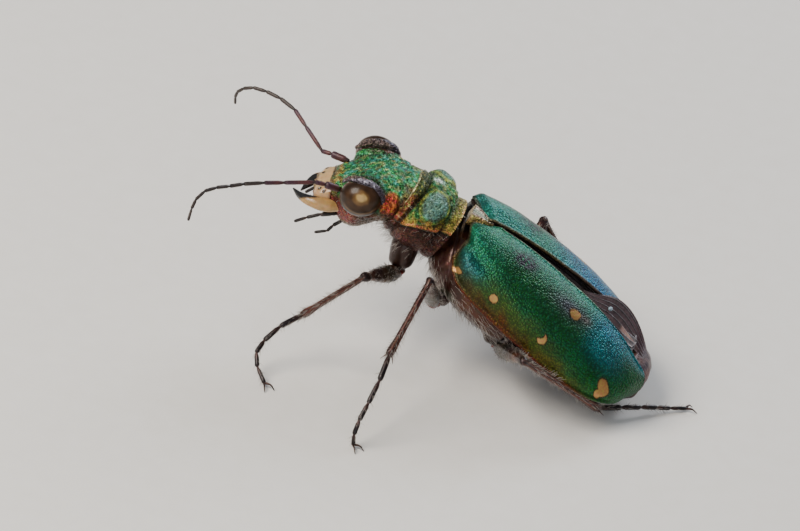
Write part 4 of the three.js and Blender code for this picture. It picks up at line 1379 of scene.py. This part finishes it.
def makeLegs():
    grids = {}
    for name, leg in legs.items():
        row, tag = name.split("_")[0], legTag(name)
        hip = inFrame(np.array(leg["hip"], float), np.linalg.inv(floorFrame) @ trunkFrame)
        trochanter, knee, ankle = (np.array(leg[k], float) for k in ("trochanter", "knee", "ankle"))
        # hip joint: a blunt cone, with the small trochanter bulb at its end
        u = np.linspace(0, 1, 26)
        cone = tube(between(hip, trochanter, u), through(legSizes["hip"], u), 32)
        cone = cone + gridNormals(cone) * (0.012 * waves(cone, 0.3, 60))[..., None]
        paint = painted(cone.shape[:2], "2e1a14")
        brush(paint, "7a2418", 0.9 * rise(np.linspace(0, 1, len(cone)), 0.7, 0.85)[:, None])
        skinPiece("hip" + tag, cone, floorFrame, copperChitin, ["coxa_" + name], paint)
        # thigh: thickest a third of the way along, narrow before the knee's knob
        u = np.linspace(0.03, 0.99, 60)
        thick = legSizes["thigh"][row]
        profile = through(legSizes["thighProfile"], u)
        thigh = tube(between(trochanter, knee, u), thick * profile, 32, 0.86)
        thigh = thigh + gridNormals(thigh) * (0.01 * waves(thigh, 0.25, 61))[..., None]
        share = shareAlong(thigh)
        paint = painted(thigh.shape[:2], "3e221a")
        brush(paint, "6a3a24", 0.6 * rise(waves(thigh, 0.6, 62), 0, 0.7))
        brush(paint, "2c2034", 0.5 * rise(waves(thigh, 0.7, 63), 0.1, 0.8))
        brush(paint, "24402c", 0.4 * bump(share, 0.4, 0.2))
        brush(paint, "1c1214", 0.8 * rise(share, 0.88, 0.96))
        grids["thigh", name] = thigh
        skinPiece("thigh" + tag, thigh, floorFrame, copperChitin, ["femur_" + name], paint)
        # shin: a slim rod with lengthwise grooves and two spurs
        u = np.linspace(0.0, 0.99, 60)
        profile = through(legSizes["shinProfile"], u)
        shin = tube(between(knee, ankle, u), legSizes["shin"][row] * profile, 40)
        angle = np.linspace(0, 2 * np.pi, 40, endpoint=False)[None]
        ribs = np.cos(legSizes["grooves"] * angle) * np.ones((len(shin), 1))
        shin = shin - gridNormals(shin) * (legSizes["grooveDepth"] * (1 + ribs))[..., None]
        share = shareAlong(shin)
        paint = painted(shin.shape[:2], "5a342a")
        # painted shade: dark in the bottom of each lengthwise groove
        brush(paint, "1e1416", 0.85 * rise(np.cos(legSizes["grooves"] * angle) + 0 * share, 0.2, 1.0))
        brush(paint, "221618", 0.7 * rise(share, 0.86, 0.98))
        brush(paint, "221618", 0.7 * rise(share, 0.1, 0.02))
        parts = [(shin, paint)]
        along = (ankle - knee) / np.linalg.norm(ankle - knee)
        across = np.cross([0, 0, 1.0], along)
        across /= np.linalg.norm(across)
        for s in (-1, 1):
            root = knee + (ankle - knee) * 0.95
            tip = root + along * 0.36 + across * s * 0.24 + [0, 0, -0.08]
            spur = tube(between(root, tip, np.linspace(0, 1, 8)), np.linspace(0.045, 0.008, 8), 12)
            parts.append((spur, painted(spur.shape[:2], "4a2c20")))
        grids["shin", name] = shin
        joinedPiece("shin" + tag, parts, floorFrame, copperChitin, ["tibia_" + name])
        # foot: five joints and two hooked claws
        points = [leg["ankle"], *leg["foot"]]
        radii = [legSizes["foot"] * k for k in legSizes["footProfile"]]
        grid, order, share = jointed(points, radii, 20, 12, 0.5)
        paint = painted(order.shape, "1e1416")
        brush(paint, "4a2e28", 0.5 * rise(share, 0.6, 0.2))
        parts = [(grid, paint)]
        last = np.array(points[5]) - np.array(points[4])
        last[2] = 0
        last /= np.linalg.norm(last)
        across = np.cross([0, 0, 1.0], last)
        end = np.array(points[5])
        for s in (-1, 1):
            hook = smoothPath(
                [
                    end - last * 0.03,
                    end + last * legSizes["claw"] * 0.45 + across * s * 0.13 + [0, 0, 0.03],
                    end + last * legSizes["claw"] * 0.85 + across * s * 0.2 - [0, 0, end[2] - 0.03],
                ],
                12,
            )
            claw = tube(hook, np.linspace(0.05, 0.014, 12), 12)
            parts.append((claw, painted(claw.shape[:2], "3a2018")))
        grids["foot", name] = grid
        joinedPiece("foot" + tag, parts, floorFrame, copperChitin, ["tarsus_" + name])
    return grids


legGrids = makeLegs()
print("legs made")


# Hair. Each bristle is a thin three-sided cone that bends. Its root is a seeded place on a skin's grid,
# and its patch on the OFBake map lies at that place of the skin's own unwrap.
def growHair(name, skins, place, material, look):
    random = np.random.default_rng(look["seed"])
    roots, normals, lies, flats = [], [], [], []
    for k, (grid, weight, share) in enumerate(skins):
        rows, columns = grid.shape[:2]
        n = gridNormals(grid)
        lie = np.gradient(grid, axis=0)
        lie /= np.maximum(np.linalg.norm(lie, axis=2, keepdims=True), 1e-9)
        area = np.linalg.norm(np.gradient(grid, axis=0), axis=2) * np.linalg.norm(
            np.roll(grid, -1, 1) - grid, axis=2
        )
        chance = (area * np.clip(weight, 0, None)).ravel()
        chance = chance / chance.sum()
        pick = random.choice(len(chance), int(look["count"] * share), p=chance)
        r, c = pick // columns, pick % columns
        move = random.uniform(0, 1, (len(pick), 2, 1))
        r2, c2 = np.minimum(r + 1, rows - 1), (c + 1) % columns
        here = grid[r, c]
        roots.append(here + (grid[r2, c] - here) * move[:, 0] + (grid[r, c2] - here) * move[:, 1])
        normals.append(n[r, c])
        lies.append(lie[r, c])
        flats.append(np.stack([(k + c / columns) / len(skins), r / rows], -1))
    root, normal = np.concatenate(roots), np.concatenate(normals)
    lie, flat = np.concatenate(lies), np.concatenate(flats)
    count = len(root)
    out = normal * look["stand"] + lie * look["lean"] + random.normal(0, look["scatter"], (count, 3))
    out /= np.linalg.norm(out, axis=1, keepdims=True)
    length = look["length"] * random.uniform(0.6, 1.25, count)
    bend = lie * look["lean"]
    rings = 4
    s = np.linspace(0, 1, rings)
    centre = root[:, None] - normal[:, None] * 0.02
    centre = centre + out[:, None] * (length[:, None] * s)[..., None]
    centre = centre + bend[:, None] * (look["curl"] * length[:, None] * s**2)[..., None]
    across = np.cross(out, random.normal(size=(count, 3)))
    across /= np.linalg.norm(across, axis=1, keepdims=True)
    up = np.cross(out, across)
    angle = np.array([0, 2.094, 4.189])
    radius = look["width"] / 2 * np.array([1.0, 0.85, 0.6, 0.15])
    turn = across[:, None, None] * np.cos(angle)[:, None] + up[:, None, None] * np.sin(angle)[:, None]
    points = centre[:, :, None] + turn * radius[None, :, None, None]
    points = inFrame(points.reshape(-1, 3), place)
    base = (np.arange(count) * rings * 3)[:, None, None, None]
    r, k = np.meshgrid(np.arange(rings - 1), np.arange(3), indexing="ij")
    quad = np.stack([r * 3 + k, r * 3 + (k + 1) % 3, (r + 1) * 3 + (k + 1) % 3, (r + 1) * 3 + k], -1)
    quads = (base + quad[None]).reshape(-1, 4)
    first = (np.arange(count) * rings * 3)[:, None]
    triangles = np.concatenate([first + [2, 1, 0], first + [rings * 3 - 3, rings * 3 - 2, rings * 3 - 1]])
    paint = np.ones((count, rings, 3, 4))
    paint[..., :3] = (s[None, :, None, None]) * random.uniform(0.7, 1, (count, 1, 1, 1))
    patch = 0.0015 * np.stack([np.cos(angle), np.sin(angle)], -1)
    uv = flat[:, None, None] + patch[None, None] * (0.4 + 0.6 * s[None, :, None, None])
    paint, uv = paint.reshape(-1, 4), uv.reshape(-1, 2)
    return addPiece(name, points, quads, triangles, material, [], paint, uv, "OFBake")


# Bristles of each coat: seed, how many, how far they stand out and lean back along the body, how much
# they scatter, their length and width in mm, and how much they bend.
coats = {
    "throatHair": {
        "seed": 1,
        "count": 420,
        "stand": 1,
        "lean": -0.4,
        "scatter": 0.25,
        "length": 0.42,
        "width": 0.013,
        "curl": 0.2,
    },
    "neckHair": {
        "seed": 2,
        "count": 70,
        "stand": 1,
        "lean": -0.3,
        "scatter": 0.3,
        "length": 0.26,
        "width": 0.012,
        "curl": 0.2,
    },
    "breastHair": {
        "seed": 3,
        "count": 800,
        "stand": 0.55,
        "lean": 0.8,
        "scatter": 0.22,
        "length": 0.36,
        "width": 0.013,
        "curl": 0.25,
    },
    "hindBodyHair": {
        "seed": 4,
        "count": 520,
        "stand": 0.3,
        "lean": 0.9,
        "scatter": 0.2,
        "length": 0.24,
        "width": 0.012,
        "curl": 0.15,
    },
    "headHair": {
        "seed": 5,
        "count": 190,
        "stand": 1,
        "lean": -0.4,
        "scatter": 0.3,
        "length": 0.24,
        "width": 0.011,
        "curl": 0.2,
    },
    "legHair": {
        "count": 620,
        "stand": 0.9,
        "lean": 0.75,
        "scatter": 0.22,
        "length": 0.22,
        "width": 0.013,
        "curl": 0.15,
    },
}


def makeCoats():
    x, y, z = np.moveaxis(shieldGrid, 2, 0)
    throat = rise(z, -0.3, -0.7)
    flank = bump(z, 0.55, 0.3) * rise(np.abs(x), 0.8, 1.2)
    growHair(
        "throatHair",
        [(shieldGrid, throat, 1)],
        trunkFrame,
        whiteBristle,
        coats["throatHair"],
    )
    growHair(
        "neckHair",
        [(shieldGrid, flank, 1)],
        trunkFrame,
        whiteBristle,
        coats["neckHair"],
    )
    x, y, z = np.moveaxis(breastGrid, 2, 0)
    growHair(
        "breastHair",
        [(breastGrid, rise(z, 0.1, -0.4), 1)],
        trunkFrame,
        whiteBristle,
        coats["breastHair"],
    )
    x, y, z = np.moveaxis(hindBodyGrid, 2, 0)
    growHair(
        "hindBodyHair",
        [(hindBodyGrid, rise(z, 0.1, -0.3) * (0.3 + rise(np.abs(x), 1.0, 1.8)), 1)],
        trunkFrame,
        whiteBristle,
        coats["hindBodyHair"],
    )
    x, y, z = np.moveaxis(headGrid, 2, 0)
    cheek = rise(z, 0.0, -0.4) * rise(y, -2.3, -2.0) + 0.1 * rise(z, 0.3, 0.5) * rise(np.abs(x), 0.4, 0.7)
    growHair(
        "headHair",
        [(headGrid, cheek, 1)],
        headFrame,
        whiteBristle,
        coats["headHair"],
    )
    for k, name in enumerate(legs):
        thigh, shin, foot = (legGrids[part, name] for part in ("thigh", "shin", "foot"))
        tag = legTag(name)
        growHair(
            "legHair" + tag,
            [
                (thigh, rise(shareAlong(thigh), 1.0, 0.8), 0.36),
                (shin, 0.3 + rise(shareAlong(shin), 0.0, 0.2), 0.48),
                (foot, np.ones(foot.shape[:2]), 0.16),
            ],
            floorFrame,
            whiteBristle,
            {"seed": 10 + k, **coats["legHair"]},
        )


makeCoats()
print("coats made")


# Floor, lights and camera.
studio = {
    "floorTints": ("f0ede7", "f7f5f1"),
    "airColour": "dfe6ee",
    "airStrength": 0.3,
    # name, place and size in mm, power in watts and colour of each light
    "lights": [
        ("keyLight", (60, -100, 130), 95, 0.36, "fff6ea"),
        ("fillLight", (160, 20, 60), 110, 0.06, "eef2f8"),
        ("rimLight", (-120, 60, 80), 60, 0.12, "f4f8ff"),
    ],
    "cameraDistance": 300,
    "cameraAzimuth": 91.8,
    "cameraElevation": 30.55,
    "cameraRoll": 14.2,
    "aim": (1.231, -2.52, 3.529),
    "pixelsPerMm": 29.0,
    "pictureWidth": 800,
}


def makeFloor():
    # a flat sheet with its own very fine paper grain
    material, tree, surface, place = newMaterial("palePaper", {"Roughness": 0.85})
    grain = addNode(tree, "ShaderNodeTexNoise", {"Scale": 1000 / 0.8, "Detail": 4.0}, {"Vector": place})
    dark, light = studio["floorTints"]
    tint = addNode(
        tree,
        "ShaderNodeMix",
        {"data_type": "RGBA", 6: (*linear(dark), 1), 7: (*linear(light), 1)},
        {0: grain.outputs["Fac"]},
    )
    tree.links.new(tint.outputs[2], surface.inputs["Base Color"])
    half = 400.0
    points = np.array([(-half, -half, 0), (half, -half, 0), (half, half, 0), (-half, half, 0)])
    mesh = bpy.data.meshes.new("floor")
    mesh.from_pydata((points * mm).tolist(), [], [(0, 1, 2, 3)])
    floor = bpy.data.objects.new("floor", mesh)
    bpy.context.scene.collection.objects.link(floor)
    floor.data.materials.append(material)


def makeLight(name, place, size, power, colour):
    # a soft square light that faces the beetle; place and size in mm
    data = bpy.data.lights.new(name, "AREA")
    data.size = size * mm
    data.energy = power
    data.color = linear(colour)
    lamp = bpy.data.objects.new(name, data)
    bpy.context.scene.collection.objects.link(lamp)
    direction = np.array(place, float)
    zAxis = direction / np.linalg.norm(direction)
    xAxis = np.cross([0.0, 1.0, 0.0], zAxis)
    xAxis /= np.linalg.norm(xAxis)
    m = np.eye(4)
    m[:3, 0], m[:3, 1], m[:3, 2] = xAxis, np.cross(zAxis, xAxis), zAxis
    m[:3, 3] = direction * mm
    lamp.matrix_world = Matrix(m.tolist())


def makeCamera():
    # looks at a point between head and body, along the photo's angle, from 30 cm with a long lens
    data = bpy.data.cameras.new("camera")
    a, e = math.radians(studio["cameraAzimuth"]), math.radians(studio["cameraElevation"])
    back = np.array([math.sin(a) * math.cos(e), -math.cos(a) * math.cos(e), math.sin(e)])
    right = np.array([math.cos(a), math.sin(a), 0])
    up = np.cross(back, right)
    r = math.radians(studio["cameraRoll"])
    right, up = right * math.cos(r) + up * math.sin(r), up * math.cos(r) - right * math.sin(r)
    aim = np.array(studio["aim"]) + stance["stand"]
    m = np.eye(4)
    m[:3, 0], m[:3, 1], m[:3, 2] = right, up, back
    m[:3, 3] = (aim + back * studio["cameraDistance"]) * mm
    data.sensor_width = 36
    data.lens = 36 * studio["cameraDistance"] * studio["pixelsPerMm"] / studio["pictureWidth"]
    data.clip_start, data.clip_end = 0.02, 5
    camera = bpy.data.objects.new("camera", data)
    bpy.context.scene.collection.objects.link(camera)
    camera.matrix_world = Matrix(m.tolist())
    bpy.context.scene.camera = camera


makeFloor()
for light in studio["lights"]:
    makeLight(*light)
makeCamera()
world = bpy.data.worlds.new("studioAir")
world.use_nodes = True
world.node_tree.nodes["Background"].inputs["Color"].default_value = (*linear(studio["airColour"]), 1)
world.node_tree.nodes["Background"].inputs["Strength"].default_value = studio["airStrength"]
bpy.context.scene.world = world
print("studio made")
